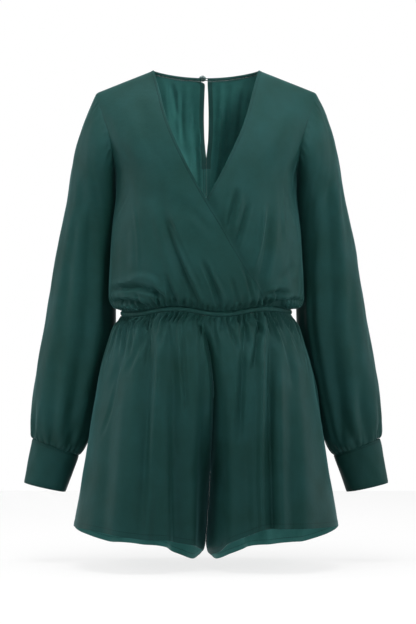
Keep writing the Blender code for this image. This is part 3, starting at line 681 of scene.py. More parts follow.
# The valley that the centre front and back seams of the shorts lie in, and how far it reaches into each leg
VALLEY_DEPTH = 16.0
VALLEY_START = 60.0
VALLEY_WIDTH = {RIGHT: 3.5, LEFT: 8.0}

# Folds of the sleeves. turn is in degrees: 0 at the outer edge, 90 in front, 180 at the inner edge, 270 behind.
# Rows count from the armhole (0) past the first full ring (6) to the cuff (16). Each fold has its turn at both
# ends, its first and last row, its depth and its half width.
SLEEVE_FOLDS = {
    RIGHT: """
96 113 6.5 14.5 4.6 11
76 88 6.5 13.5 -1.6 9
52 46 7.5 13.5 -2.2 12
70 62 5 10 1.8 8
142 136 8.5 15.9 2.4 9
76 84 12.5 15.9 2.6 7
34 26 13 15.9 2.6 6
122 116 13.5 15.9 2.8 6
215 226 5 12 4.4 12
262 250 6 13 4.6 11
240 238 6 13 -2 10
305 318 4 11.5 4 11
290 282 11 15.9 3.2 8
335 328 11.5 15.9 2.8 7
""",
    LEFT: """
70 116 5 14.5 5 11
50 92 5.5 13.5 -1.8 9
124 132 9 14.5 2.6 5
44 40 8 14 -2 12
148 142 8 15.9 2.2 8
70 64 12.5 15.9 2.6 7
28 32 13 15.9 2.8 6
98 94 13.5 15.9 2.8 6
220 210 5 12.5 4.4 12
258 270 6 14 4.6 11
238 240 6 13 -2 10
310 300 4.5 12 4 11
334 340 11.5 15.9 2.8 7
""",
}
SLEEVE_FADE = 1.6
SLEEVE_HOLD = 14.0
CUFF_HOLD = 0.4
HEAD_EASE = 3.0
RIPPLE_EASE = 30.0
BESIDE_BODY = 42.0  # degrees either side of the inner edge, where the arm lies against the body
MM_PER_DEGREE = 0.84

# Gathers along a seam: the seed of their draws, where they begin and end, and how far apart they lie, how far
# they run from the seam and how deep they are. A sleeve head counts along its seam in degrees.
GATHERS = {
    "over": (11, -172, 176, (5, 10), (14, 44), (3.6, 6.4)),
    "under": (12, 60, 176, (5, 10), (14, 44), (3.6, 6.4)),
    "back": (13, -174, 174, (7, 13), (18, 60), (3.6, 6.0)),
    "shorts_front": (14, -172, 172, (5.5, 9.5), (30, 140), (3.0, 5.4)),
    "shorts_back": (15, -172, 172, (6, 10), (30, 140), (3.0, 5.4)),
    "sleeve_head": (16, 30, 150, (9, 15), (12, 30), (0.7, 1.4)),
    "sleeve_end": (17, 0, 300, (8, 14), (14, 44), (1.0, 2.0)),
}
GATHER_HALF_WIDTH = (1.4, 2.3)
GATHER_LEAN = 0.16
GATHER_SPREAD = 1.5
GATHER_HOLD = 0.6  # of its depth that a gather has at the seam itself
GATHER_RISE = 5.0
GATHER_FADE_POWER = 1.2
GATHER_MARGIN = 6.0  # from a panel's side, over which its gathers rise

SEAM_DIP = 0.8
SEAM_ALLOWANCE = 2.4  # how far the sleeve's raw edge stands up inside the armhole
SEAM_DIP_WIDTH = 1.7
SEAM_HOLD = 11.0
TURNED_EDGE = 5.0
TURNED_STEP = 0.5
TURN_SLOPE = 0.8
STITCH_DENT, DENT_WIDTH = 0.3, 0.9
HEM_WIDTH = 9.0
HEM_FOLD = 0.5
STITCH_INSET = 2.0
SLIT_STITCH = 3.5
SLIT_BLEND = 10.0
BINDING_STITCH = 4.2
ARMHOLE_BLEND = 4.0

# The lap, and how the front under it falls away
LAP_DEPTH = 3.6
LAP_MARGIN = 1.5
LAP_BLEND = 18.0
LAP_TOP = 150.0
LAP_TOP_BLEND = 40.0

# Unevenness of the hanging cloth
BODICE_SEED = {FRONT: 21, BACK: 22}
SLEEVE_SEED, CUFF_SEED, CASING_SEED, SHORTS_SEED = 30, 40, 51, 60
BODICE_RIPPLE, SLEEVE_RIPPLE, SHORTS_RIPPLE = 0.5, 0.6, 0.6
CUFF_RIPPLE = (0.3, 80, 120)  # with its lengths across and down
CUFF_EASE, SHORTS_EASE, HEM_EASE = 12, 60, 8
SHOULDER_HOLD = 120.0

# Grid sizes
BODICE_ROWS = np.linspace(0, 1, 150) ** 1.3
FRONT_COLUMNS = {RIGHT: 190, LEFT: 150}
EDGE_START, EDGE_COLUMNS = 0.96, 14
BACK_COLUMNS = 120
SLIT_PART = 7 / 16
FACING_COLUMNS = 7
BINDING_COLUMNS, BINDING_ROWS = 90, 9
SLEEVE_COLUMNS, SLEEVE_ROWS, CUFF_ROWS = 168, 160, 26
CASING_COLUMNS, CASING_ROWS = 440, 9
LEG_COLUMNS = {FRONT: 160, BACK: 130}
LEG_ROWS = 150


def trough(aside):
    """A soft trough with a low lip along both sides, aside counted in half widths."""
    return bell(aside) - CREASE_LIP * bell((np.abs(aside) - LIP_PLACE) / LIP_WIDTH)


def creases(cloth, x, drop):
    """How far the folds press a cloth in, at points of the front or back view."""
    total = np.zeros(x.shape)
    for top_x, top_drop, end_x, end_drop, bow, depth, half_width in numbers(CREASES[cloth]):
        run_x, run_drop = end_x - top_x, end_drop - top_drop
        length = math.hypot(run_x, run_drop)
        off_x, off_drop = x - top_x, drop - top_drop
        along = (off_x * run_x + off_drop * run_drop) / length**2
        bowed = bow * (1 - np.clip(2 * along - 1, -1.5, 1.5) ** 2)
        aside = ((off_x * run_drop - off_drop * run_x) / length - bowed) / half_width
        starts = ease((along + CREASE_FADE) / (2 * CREASE_FADE))
        ends = ease((1 + CREASE_FADE - along) / (2 * CREASE_FADE))
        total += depth * trough(aside) * starts * ends
    return total


def gathers(cloth, around, away):
    """How far the gathers at a seam press the cloth in, around along the seam and away from it."""
    total = np.zeros(np.broadcast(around, away).shape)
    seed, centre, end, apart, long, deep = GATHERS[cloth]
    draw = np.random.default_rng(seed)
    while centre < end:
        half = draw.uniform(*GATHER_HALF_WIDTH)
        length, depth = draw.uniform(*long), draw.uniform(*deep)
        lean = draw.uniform(-GATHER_LEAN, GATHER_LEAN)
        spread = half * (1 + GATHER_SPREAD * np.clip(away / length, 0, 1))
        held_in = GATHER_HOLD + (1 - GATHER_HOLD) * ease(away / GATHER_RISE)
        fade = (1 - ease(away / length)) ** GATHER_FADE_POWER
        total += depth * trough((around - centre - lean * away) / spread) * fade * held_in
        centre += draw.uniform(*apart)
    return total


def ripple(around, drop, seed, height, across=70.0, down=190.0):
    """A gentle unevenness of hanging cloth, longer down than across."""
    draw = np.random.default_rng(seed)
    total = np.zeros(np.broadcast(around, drop).shape)
    for octave in (1, 1, 1, 2, 2, 3):
        phase = draw.uniform(0, 2 * math.pi, 2)
        stretch = draw.uniform(0.75, 1.3, 2)
        wave = np.sin(2 * math.pi * around * octave * stretch[0] / across + phase[0])
        wave = wave * np.sin(2 * math.pi * drop * octave * stretch[1] / down + phase[1])
        total += wave * height / octave
    return total


def distances(points):
    """Distance of each grid point from the start, end, top and bottom of its panel, measured along the cloth."""
    across = np.linalg.norm(np.diff(points, axis=1), axis=-1)
    down = np.linalg.norm(np.diff(points, axis=0), axis=-1)
    start = np.pad(np.cumsum(across, axis=1), ((0, 0), (1, 0)))
    top = np.pad(np.cumsum(down, axis=0), ((1, 0), (0, 0)))
    return start, start[:, -1:] - start, top, top[-1:] - top


def seam_dip(distance):
    return SEAM_DIP * bell(distance / SEAM_DIP_WIDTH)


def armhole_dip(points, distance, side):
    """The dip of an armhole seam, which takes both of its cloths towards the middle of the arm."""
    return unit(ARM_CENTRE * np.array([side, 1, 1]) - points) * seam_dip(distance)[..., None]


def held(*edges):
    """0 at seams, where panels have to meet, rising to 1 away from them."""
    return ease(np.minimum.reduce(edges) / SEAM_HOLD)


def turned_part(distance, width):
    """1 where cloth is turned over at an edge and 0 beyond."""
    return 1 - ease((distance - width) / TURN_SLOPE + 1)


def turned_step(distance, width):
    """How far a turned edge stands proud of its panel, with the dent that its stitching pulls in."""
    dent = bell((distance - width + DENT_WIDTH) / DENT_WIDTH)
    return STITCH_DENT * dent - TURNED_STEP * turned_part(distance, width)


def inward_normals(points, middle, closed=False):
    """Unit normals of a grid of points, on the side that middle(points) lies."""
    if closed:
        along_u = np.roll(points, -1, axis=1) - np.roll(points, 1, axis=1)
    else:
        along_u = np.gradient(points, axis=1)
    normal = unit(np.cross(along_u, np.gradient(points, axis=0)))
    return normal * np.sign(np.mean(np.sum(normal * (middle(points) - points), axis=-1)))


def quads(index):
    """The faces of a grid of point numbers."""
    corners = index[:-1, :-1], index[:-1, 1:], index[1:, 1:], index[1:, :-1]
    return np.stack(corners, axis=-1).reshape(-1, 4)


def add_sheet(kind, side, outer, inner, stitch=(), closed=False, materials=None, slot="crepe"):
    """A closed thin shell between two grids of points, with how far each lies off its line of stitches and along
    it. The second material is for its wrong side."""
    cad_node = f"{kind}_{SIDE_NAMES[side]}" if side else kind
    materials = materials or (crepe, crepe_wrong_side_painted_glow)
    rows, columns = outer.shape[:2]
    face = np.arange(rows * columns).reshape(rows, columns)
    if closed:
        face = np.concatenate([face, face[:, :1]], axis=1)
    lining = face + rows * columns
    blocks = [quads(face), quads(lining)]
    blocks += [quads(np.stack([face[row], lining[row]])) for row in (0, -1)]
    if not closed:
        blocks += [quads(np.stack([face[:, column], lining[:, column]])) for column in (0, -1)]
    points = np.concatenate([outer.reshape(-1, 3), inner.reshape(-1, 3)])
    points = (points + np.array([0, 0, NECK_POINT_HEIGHT])) * MM
    name = cad_node + "_cloth"
    mesh = bpy.data.meshes.new(name)
    mesh.from_pydata(points.tolist(), [], np.concatenate(blocks).tolist())
    slots = np.zeros(len(mesh.polygons), np.int32)
    slots[len(blocks[0]) : 2 * len(blocks[0])] = len(materials) - 1
    mesh.polygons.foreach_set("material_index", slots)
    for finish in materials:
        mesh.materials.append(finish)
    bm = bmesh.new()
    bm.from_mesh(mesh)
    bmesh.ops.recalc_face_normals(bm, faces=bm.faces)
    bm.to_mesh(mesh)
    bm.free()
    for key, values in zip(("stitch_off", "stitch_run"), stitch):
        entry = mesh.attributes.new(key, "FLOAT", "POINT")
        entry.data.foreach_set("value", np.tile(values.ravel(), 2).astype(np.float32))
    mesh.shade_smooth()
    mesh.set_sharp_from_angle(angle=math.radians(50))
    piece = link(name, mesh)
    stand_for(piece, cad_node)


def linear(colour):
    """Linear RGBA of an sRGB hex colour."""
    parts = [int(colour[i : i + 2], 16) / 255 for i in (1, 3, 5)]
    return [c / 12.92 if c <= 0.04045 else ((c + 0.055) / 1.055) ** 2.4 for c in parts] + [1.0]


def join(tree, source, target):
    """Links a socket, or a node's first output, to an input."""
    tree.links.new(source if isinstance(source, bpy.types.NodeSocket) else source.outputs[0], target)


def node(tree, kind, settings=None, **links):
    """Adds a node. Settings are its inputs by name or number, or else its own properties. Links go to an input
    by name, or by number after a low line."""
    made = tree.nodes.new("ShaderNode" + kind)
    for key, value in (settings or {}).items():
        if isinstance(key, str) and key not in made.inputs:
            setattr(made, key, value)
        else:
            made.inputs[key].default_value = value
    for key, source in links.items():
        join(tree, source, made.inputs[int(key[1:]) if key[1:].isdigit() else key])
    return made


def new_material(name, constants):
    """A material, its tree and its shader, with the constants on the shader's own sockets."""
    made = bpy.data.materials.new(name)
    made.use_nodes = True
    shader = made.node_tree.nodes["Principled BSDF"]
    for key, value in constants.items():
        shader.inputs[key].default_value = value
    return made, made.node_tree, shader


STITCH_PITCH = 3.4
STITCH_GAP = 0.3
STITCH_WIDTH = 0.45


def woven_crepe(name, dark, light, roughness, sheen):
    """Polyester crepe: a thin plain weave of hard-twisted yarn, dyed in the piece. The twist gives a dull pebbled
    grain, and the fine fibres at a grazing angle give it a pale edge."""
    made, tree, shader = new_material(name, {
        "Roughness": roughness, "IOR": 1.5, "Specular IOR Level": 0.2, "Specular Tint": linear("#a9dcec"),
        "Sheen Weight": sheen, "Sheen Roughness": 0.3, "Sheen Tint": linear("#74b6bb"),
    })
    place = node(tree, "TexCoord").outputs["Object"]
    # dye and light change softly over about 60 mm
    mottle = node(tree, "TexNoise", {"Scale": 16.0, "Detail": 3.0, "Roughness": 0.6}, Vector=place)
    # crepe grain is about 0.6 mm across; it is drawn at 1.6 mm so that it shows
    grain = node(tree, "TexNoise", {"Scale": 620.0, "Detail": 2.0, "Roughness": 0.7}, Vector=place)
    fleck = node(tree, "Math", {"operation": "MULTIPLY_ADD", 1: 0.35, 2: -0.175}, _0=grain)
    tone = node(tree, "Math", {"operation": "ADD"}, _0=mottle, _1=fleck)
    cloth = node(tree, "ValToRGB", Fac=tone)
    for stop, position, colour in zip(cloth.color_ramp.elements, (0.22, 0.78), (dark, light)):
        stop.position, stop.color = position, linear(colour)
    # a row of stitches, dashed along the edge, where the cloth is turned and sewn down
    off = node(tree, "Attribute", {"attribute_name": "stitch_off"}).outputs["Fac"]
    run = node(tree, "Attribute", {"attribute_name": "stitch_run"}).outputs["Fac"]
    near = node(tree, "Math", {"operation": "COMPARE", 1: 1.0, 2: STITCH_WIDTH}, _0=off)
    turn = node(tree, "Math", {"operation": "PINGPONG", 1: STITCH_PITCH / 2}, _0=run)
    dash = node(tree, "Math", {"operation": "GREATER_THAN", 1: STITCH_PITCH / 2 * STITCH_GAP}, _0=turn.outputs[0])
    stitch = node(tree, "Math", {"operation": "MULTIPLY"}, _0=near, _1=dash)
    thread = node(tree, "Mix", {"data_type": "RGBA", "blend_type": "MULTIPLY", 7: linear("#959595")},
                  _0=stitch, _6=cloth)
    join(tree, thread.outputs[2], shader.inputs["Base Color"])
    raised = node(tree, "Math", {"operation": "MULTIPLY_ADD", 1: 0.6}, _0=stitch, _2=grain)
    # the crinkle that the twist leaves, about 7 mm across
    crinkle = node(tree, "TexNoise", {"Scale": 140.0, "Detail": 2.0}, Vector=place)
    soft = node(tree, "Bump", {"Strength": 0.22, "Distance": 0.0012}, Height=crinkle)
    bump = node(tree, "Bump", {"Strength": 0.35, "Distance": 0.0004}, Height=raised, Normal=soft)
    join(tree, bump, shader.inputs["Normal"])
    return made


def cast_resin(name):
    """Polyester resin, cast and tumbled: a smoky grey green with a soft polish that gives a small highlight."""
    made, tree, shader = new_material(name, {"Roughness": 0.32, "IOR": 1.55})
    place = node(tree, "TexCoord").outputs["Object"]
    # the smoky clouds of cast resin are about 4 mm across
    cloud = node(tree, "TexNoise", {"Scale": 260.0, "Detail": 4.0, "Distortion": 1.2}, Vector=place)
    tone = node(tree, "ValToRGB", Fac=cloud)
    for stop, position, colour in zip(tone.color_ramp.elements, (0.32, 0.7), ("#6a7a7a", "#99acab")):
        stop.position, stop.color = position, linear(colour)
    join(tree, tone, shader.inputs["Base Color"])
    # tumbling leaves scratches of about 0.4 mm
    scratch = node(tree, "TexNoise", {"Scale": 2500.0, "Detail": 2.0}, Vector=place)
    bump = node(tree, "Bump", {"Strength": 0.1, "Distance": 0.0001}, Height=scratch)
    join(tree, bump, shader.inputs["Normal"])
    return made


crepe = woven_crepe("crepe_dark_green", "#102e27", "#193c3a", 0.58, 0.26)
# the wrong side: a little paler and glossier than the right side, and painted much lighter again, a painted glow
# standing in for light that comes through the thin cloth from behind
crepe_wrong_side_painted_glow = woven_crepe("crepe_wrong_side_painted_glow", "#2e615d", "#3f7a75", 0.45, 0.25)
# the inside of the same cloth folded double, as the facings and the inside of the neck binding are: also painted
# lighter, a painted glow standing in for light through the cloth, but less so, as doubled cloth lets less light
# through
crepe_doubled_painted_glow = woven_crepe("crepe_doubled_painted_glow", "#264a46", "#335d59", 0.5, 0.25)
resin = cast_resin("cast_resin_smoky")


def link(name, data):
    made = bpy.data.objects.new(name, data)
    bpy.context.scene.collection.objects.link(made)
    return made


def stand_for(piece, cad_node):
    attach(piece, "root")
    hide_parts(cad_node)


def bodice_axis(points):
    return points * np.array([0.0, 0.0, 1.0])


def waist_place(points, face):
    """Where points of the bodice lie along the waist and above it, both in mm."""
    x, drop = points[..., 0], -points[..., 2]
    angle = bodice_angle(x, drop)
    above = BODICE_END - drop + waist_wave(x, face * np.cos(angle))
    return angle * WAIST_ARC, np.maximum(above, 0)


def bodice_relief(points, cloth, face):
    """How far the folds with unevenness, and the gathers, press the bodice in before its seams hold it."""
    x, drop = points[..., 0], -points[..., 2]
    around, above = waist_place(points, face)
    uneven = ripple(around, drop, BODICE_SEED[face], BODICE_RIPPLE) * ease(drop / SHOULDER_HOLD)
    return creases(cloth, x, drop) + uneven, gathers(cloth, around, above)


def pressed(points, normal, relief, seam):
    """Presses points in, and keeps them at their height near a seam across the piece, at that distance in mm."""
    moved = points + normal * relief[..., None]
    moved[..., 2] = points[..., 2] + (moved[..., 2] - points[..., 2]) * ease(seam / SEAM_HOLD)
    return moved


def bodice_faces(points, relief, side):
    """Both faces of a bodice panel, pressed in by its relief and by its armhole, side and shoulder seams."""
    normal = inward_normals(points, bodice_axis)
    start, _, top, bottom = distances(points)
    in_armhole = ease((UNDERARM_DROP + points[..., 2]) / ARMHOLE_BLEND)
    relief = relief + seam_dip(start) * (1 - in_armhole) + seam_dip(top)
    outer = pressed(points, normal, relief, bottom)
    outer += armhole_dip(points, start, side) * in_armhole[..., None]
    return outer, pressed(outer, normal, np.full(relief.shape, CREPE), bottom)


def make_fronts():
    """The front that laps over, and the one under it, which follows its folds where it is covered."""
    for side, cloth in ((RIGHT, "over"), (LEFT, "under")):
        panel = np.linspace(0, EDGE_START - 0.005, FRONT_COLUMNS[side])
        u = np.concatenate([panel, np.linspace(EDGE_START, 1, EDGE_COLUMNS)])
        points = front_panel(*np.meshgrid(u, BODICE_ROWS), side)
        start, end, top, _ = distances(points)
        fold, gather = bodice_relief(points, cloth, FRONT)
        relief = fold * held(start, top) + gather * ease(start / GATHER_MARGIN)
        turned = turned_step(end, TURNED_EDGE)
        if side == LEFT:
            over_fold, over_gather = bodice_relief(points, "over", FRONT)
            beside = points[..., 0] - WRAP_EDGE.read("across", -points[..., 2])
            covered = 1 - ease((beside - LAP_MARGIN) / LAP_BLEND)
            shown = ease(beside / LAP_BLEND)
            above_lap = ease((LAP_TOP + points[..., 2]) / LAP_TOP_BLEND)
            relief = relief * shown + (over_fold + over_gather) * (1 - shown) * (1 - above_lap)
            relief += covered * LAP_DEPTH * (1 - above_lap)
            turned *= above_lap
        faces = [keep_apart(grid, face=FRONT) for grid in bodice_faces(points, relief + turned, side)]
        add_sheet("front", side, *faces, (end - TURNED_EDGE + STITCH_INSET, top))


def make_backs():
    """The two halves of the back."""
    for side in (RIGHT, LEFT):
        points = back_panel(*np.meshgrid(np.linspace(0, 1, BACK_COLUMNS), BODICE_ROWS), side)
        start, end, top, _ = distances(points)
        fold, gather = bodice_relief(points, "back", BACK)
        relief = fold * held(start, top, end) + gather * ease(start / GATHER_MARGIN)
        relief += seam_dip(end) * ease((top - SLIT_END) / SLIT_BLEND)
        faces = [keep_apart(grid, side, BACK) for grid in bodice_faces(points, relief, side)]
        add_sheet("back", side, *faces, (end - SLIT_STITCH, top))
        make_facing(side, faces[1], inward_normals(points, bodice_axis))
        make_binding(side)


def make_facing(side, lining, normal):
    """The strip inside the edge of the slit, on the back's inner face."""
    rows = np.searchsorted(BODICE_ROWS, SLIT_PART) + 1
    edge, before = lining[:rows, -1:], lining[:rows, -4:-3]
    inward = normal[:rows, -1:]
    across = unit(before - edge)
    reach = np.linspace(1, 0, FACING_COLUMNS)[None, :, None]
    strip = edge + across * FACING_WIDTH * reach
    curl = FACING_CURL * (2 * reach - 1) ** 2
    faces = [keep_apart(strip + inward * (SEAM_GAP + depth), side) for depth in (curl, FACING_THICKNESS)]
    add_sheet("keyhole_facing", side, *faces, materials=(crepe_doubled_painted_glow,), slot="crepe_inside")


def make_binding(side):
    u, v = np.linspace(0, 1, BINDING_COLUMNS), np.linspace(0, 1, BINDING_ROWS)
    points = binding(*np.meshgrid(u, v), side)
    normal = inward_normals(points, bodice_axis)
    rounded = (BINDING_ROUND * np.abs(2 * v - 1) ** 4)[:, None, None]
    depths = rounded - BINDING_PROUD, BINDING_THICKNESS - BINDING_PROUD - rounded
    faces = [keep_apart(points + normal * depth, side, BACK) for depth in depths]
    off = np.tile(v[:, None] * BINDING_WIDTH - BINDING_STITCH, (1, len(u)))
    add_sheet("neck_binding", side, *faces, (off, distances(points)[0]), materials=(crepe, crepe_doubled_painted_glow))


def sleeve_relief(points, row, degrees, side):
    """How far the folds, gathers and unevenness of a sleeve press it in."""
    _, _, top, bottom = distances(points)
    total = np.zeros(row.shape)
    for turn, end_turn, from_row, to_row, depth, half_width in numbers(SLEEVE_FOLDS[side]):
        centre = turn + (end_turn - turn) * np.clip((row - from_row) / (to_row - from_row), 0, 1)
        off = (degrees - centre + 180) % 360 - 180
        fade = ease((row - from_row) / SLEEVE_FADE + 0.5) * ease((to_row - row) / SLEEVE_FADE + 0.5)
        total += depth * trough(off * MM_PER_DEGREE / half_width) * fade
    total = total * ease(top / SLEEVE_HOLD) * (1 - CUFF_HOLD * ease(1 - bottom / SLEEVE_HOLD))
    for around in (degrees, 360 - degrees):
        total += gathers("sleeve_head", around, top) * ease(top / HEAD_EASE)
    total += gathers("sleeve_end", degrees * MM_PER_DEGREE, bottom)
    total += ripple(turned_away(degrees), top, SLEEVE_SEED + side, SLEEVE_RIPPLE) * ease(top / RIPPLE_EASE)
    beside_body = bell((degrees - 180) / BESIDE_BODY) * (1 - ease((row - CAP_ROWS - 2) / 3))
    return total * (1 - beside_body) + seam_dip(bottom)


def turned_away(degrees):
    """How far round a sleeve or cuff a point lies from its outer edge, in mm."""
    return np.abs((degrees + 180) % 360 - 180) * MM_PER_DEGREE


def ring_middle(points):
    return np.broadcast_to(points.mean(axis=1, keepdims=True), points.shape)


def make_sleeves():
    """The sleeves and, for each, its cuff, which is folded double."""
    last_row, last_cuff_row = CAP_ROWS + len(SLEEVE.rows) - 1, len(CUFF.rows) - 1
    turn = 2 * math.pi * np.arange(SLEEVE_COLUMNS) / SLEEVE_COLUMNS
    for side in (RIGHT, LEFT):
        u, row = np.meshgrid(turn, last_row * np.linspace(0, 1, SLEEVE_ROWS))
        points = clear_of_body(sleeve_point(row, u, side), side)
        normal = inward_normals(points, ring_middle, closed=True)
        dip = armhole_dip(points, distances(points)[2], side)
        outer = points + normal * sleeve_relief(points, row, np.degrees(u), side)[..., None] + dip
        inner = outer + normal * CREPE
        inner[0] = outer[0] + dip[0] / SEAM_DIP * SEAM_ALLOWANCE
        add_sheet("sleeve", side, outer, inner, closed=True)
        u, row = np.meshgrid(turn, last_cuff_row * np.linspace(0, 1, CUFF_ROWS))
        points = ring_point(CUFF, row, u, side)
        normal = inward_normals(points, ring_middle, closed=True)
        start, _, top, bottom = distances(points)
        relief = ripple(turned_away(np.degrees(u)), top, CUFF_SEED + side, *CUFF_RIPPLE) * ease(top / CUFF_EASE)
        relief += seam_dip(top) + 0.5 * seam_dip(bottom)
        outer = points + normal * relief[..., None]
        off = np.minimum(top, bottom) - STITCH_INSET
        add_sheet("cuff", side, outer, outer + normal * 2 * CREPE, (off, start), closed=True)


def make_casing():
    """The elastic casing, ruched over its elastic."""
    angle = 2 * math.pi * np.arange(CASING_COLUMNS) / CASING_COLUMNS
    part = np.linspace(0, 1, CASING_ROWS)[:, None]
    half, front, back = BODICE.rows[-1, 1:4]
    facing = -np.cos(angle)
    wave = waist_wave(half * np.sin(angle), facing)
    draw = np.random.default_rng(CASING_SEED)
    ruche, at = np.zeros(len(angle)), -HALF_WAIST
    around = (angle - math.pi) * WAIST_ARC
    while at < HALF_WAIST:
        ruche += draw.uniform(*RUCHE_DEPTH) * bell((around - at) / draw.uniform(*RUCHE_HALF_WIDTH))
        at += draw.uniform(*RUCHE_APART)
    top = BODICE_END + CASING_GAP + wave + (CASING_HEIGHT + 2 * (WAIST_GAP - CASING_GAP)) * part
    faces = []
    for inset, bulge, ruched in CASING_FACES:
        inward = inset + bulge * np.abs(2 * part - 1) ** 3 + ruche * ruched
        depth = np.where(facing < 0, front, back) - inward
        faces.append(np.stack([(half - inward) * np.sin(angle), facing * depth, -top], axis=-1))
    add_sheet("waist_casing", None, *faces, closed=True, materials=(crepe,))


def shorts_panel(u, v, side, face, hem):
    """A front or back of the shorts from the side seam (u = 0) to the centre seam and inseam (u = 1)."""
    part = smooth_curve(np.linspace(0, 1, len(LEG_ROW_PARTS)), LEG_ROW_PARTS, v)
    drop = SHORTS_TOP + (HEM.read(hem, u * 180) - SHORTS_TOP) * part
    return leg(u, drop, side, face)


def make_shorts():
    for side, face in ((RIGHT, FRONT), (RIGHT, BACK), (LEFT, FRONT), (LEFT, BACK)):
        cloth = "shorts_" + FACE_NAMES[face]
        hem = "back" if face == BACK else "front_" + SIDE_NAMES[side]
        u, v = np.meshgrid(np.linspace(0, 1, LEG_COLUMNS[face]), np.linspace(0, 1, LEG_ROWS))
        points = shorts_panel(u, v, side, face, hem)
        middle = np.array([side * LEG_MIDDLE, 0.0, 0.0])
        normal = inward_normals(points, lambda points: bodice_axis(points) + middle)
        start, end, top, bottom = distances(points)
        x, drop = swayed(points)[..., 0], -points[..., 2]
        around = side * (1 - u) * math.pi / 2 * WAIST_ARC
        uneven = ripple(u * leg_end_turn(drop) * LEG_ARC, drop, SHORTS_SEED + side + face, SHORTS_RIPPLE)
        relief = (creases(cloth, x, drop) + uneven * ease(top / SHORTS_EASE)) * held(start, end)
        relief += gathers(cloth, around, top) * ease(np.minimum(start, end) / GATHER_MARGIN)
        relief += seam_dip(start) + turned_step(bottom, HEM_WIDTH) * ease(end / HEM_EASE)
        outer = pressed(points, normal, relief, top)
        valley = VALLEY_DEPTH * bell(end / VALLEY_WIDTH[side])
        outer[..., 1] -= face * valley * ease((drop - SHORTS_TOP) / VALLEY_START)
        thick = CREPE + HEM_FOLD * turned_part(bottom, HEM_WIDTH)
        faces = [swayed(keep_apart(grid, side, face)) for grid in (outer, outer + normal * thick[..., None])]
        add_sheet(cloth, side, *faces, (bottom - HEM_WIDTH + STITCH_INSET, start))


def button_frame():
    """The middle of the button on the outside of the binding, and the directions across, out and down."""
    angle = bodice_angle(BUTTON_X, BUTTON_DROP)
    here = bodice(angle, BUTTON_DROP, BACK)
    down = unit(bodice(angle, BUTTON_DROP + 1, BACK) - here)
    across = np.array([1.0, 0.0, 0.0])
    out = unit(np.cross(across, down))
    return here + out * BINDING_PROUD, across, out, down


def metres(point):
    return Vector((point[0] * MM, point[1] * MM, (point[2] + NECK_POINT_HEIGHT) * MM))


def start_turned(name, vertices, radius, depth, middle, across, out):
    """A cylinder that stands on the cloth, left in edit mode."""
    turned = Matrix([across, np.cross(out, across), out]).transposed()
    bpy.ops.object.select_all(action="DESELECT")
    bpy.ops.mesh.primitive_cylinder_add(
        vertices=vertices, radius=radius * MM, depth=depth * MM, rotation=turned.to_euler(),
        location=metres(middle))
    made = bpy.context.object
    made.name = made.data.name = name
    bpy.ops.object.transform_apply(location=True, rotation=True, scale=True)
    bpy.ops.object.mode_set(mode="EDIT")
    return made


def end_turned(made, material, rounding=0):
    bpy.ops.mesh.select_all(action="DESELECT")
    bpy.ops.object.mode_set(mode="OBJECT")
    if rounding:
        edge = made.modifiers.new("rounded_rim", "BEVEL")
        edge.width, edge.segments = rounding * MM, 3
        edge.limit_method, edge.angle_limit = "ANGLE", SHARP
        bpy.ops.object.modifier_apply(modifier="rounded_rim")
    bpy.ops.object.shade_smooth_by_angle(angle=SHARP)
    made.data.materials.append(material)


def make_button():
    """A round button turned with a rim and a dished middle, on a shank of wound thread."""
    origin, across, out, _ = button_frame()
    middle = origin + out * (SEAM_GAP + SHANK_LENGTH + BUTTON_THICKNESS / 2)
    button = start_turned("button_turned", 64, BUTTON_RADIUS, BUTTON_THICKNESS, middle, across, out)
    bpy.ops.mesh.select_mode(type="FACE")
    for direction, rim, dish in ((Vector(out), 1.5, 0.75), (Vector(-out), 2.0, 0.2)):
        bm = bmesh.from_edit_mesh(button.data)
        for face in bm.faces:
            face.select = face.normal.dot(direction) > 0.99
        bmesh.update_edit_mesh(button.data)
        for thickness, depth in ((rim, 0), (0.5, -dish), (1.4, -0.12)):
            bpy.ops.mesh.inset(thickness=thickness * MM, depth=depth * MM)
    end_turned(button, resin, BUTTON_ROUNDING)
    stand_for(button, "button")
    middle = origin + across * SHANK_OFFSET + out * (SEAM_GAP + SHANK_LENGTH / 2)
    shank = start_turned("button_shank_thread", 24, SHANK_RADIUS, SHANK_LENGTH, middle, across, out)
    bpy.ops.mesh.select_all(action="SELECT")
    bpy.ops.mesh.bisect(plane_co=metres(middle), plane_no=out)
    bpy.ops.transform.resize(value=SHANK_WAIST, center_override=metres(middle))
    end_turned(shank, crepe)
    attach(shank, "root")


def make_loop():
    """A thin rouleau from the left end of the binding, round the shank and back."""
    origin, across, out, down = button_frame()
    hook = SHANK_RADIUS + SEAM_GAP + LOOP_RADIUS
    end = slit_edge(BUTTON_DROP, LEFT) - BUTTON_X + LOOP_SEWN_IN
    turns = np.linspace(0, math.pi, 23)
    bend = [(SHANK_OFFSET - hook * math.sin(t), -hook * math.cos(t)) for t in turns]
    path = [(end, -hook), *bend, (end, hook)]
    curve = bpy.data.curves.new("button_loop_rouleau", "CURVE")
    curve.dimensions = "3D"
    curve.bevel_depth = LOOP_RADIUS * MM
    curve.bevel_resolution = 3
    curve.use_fill_caps = True
    spline = curve.splines.new("POLY")
    spline.points.add(len(path) - 1)
    for point, (along, aside) in zip(spline.points, path):
        place = origin + across * along + out * (SEAM_GAP + LOOP_RADIUS) + down * aside
        point.co = (*metres(place), 1.0)
    curve.materials.append(crepe)
    stand_for(link("button_loop_rouleau", curve), "button_loop")


bpy.ops.object.select_all(action="DESELECT")
make_fronts()
make_backs()
make_sleeves()
make_casing()
make_shorts()
make_button()
make_loop()

# Floor, light and camera
bpy.ops.object.select_all(action="DESELECT")
bpy.ops.mesh.primitive_plane_add(size=3.2, location=(0, 0, FLOOR_HEIGHT))
floor = bpy.context.object
floor.name = "floor"
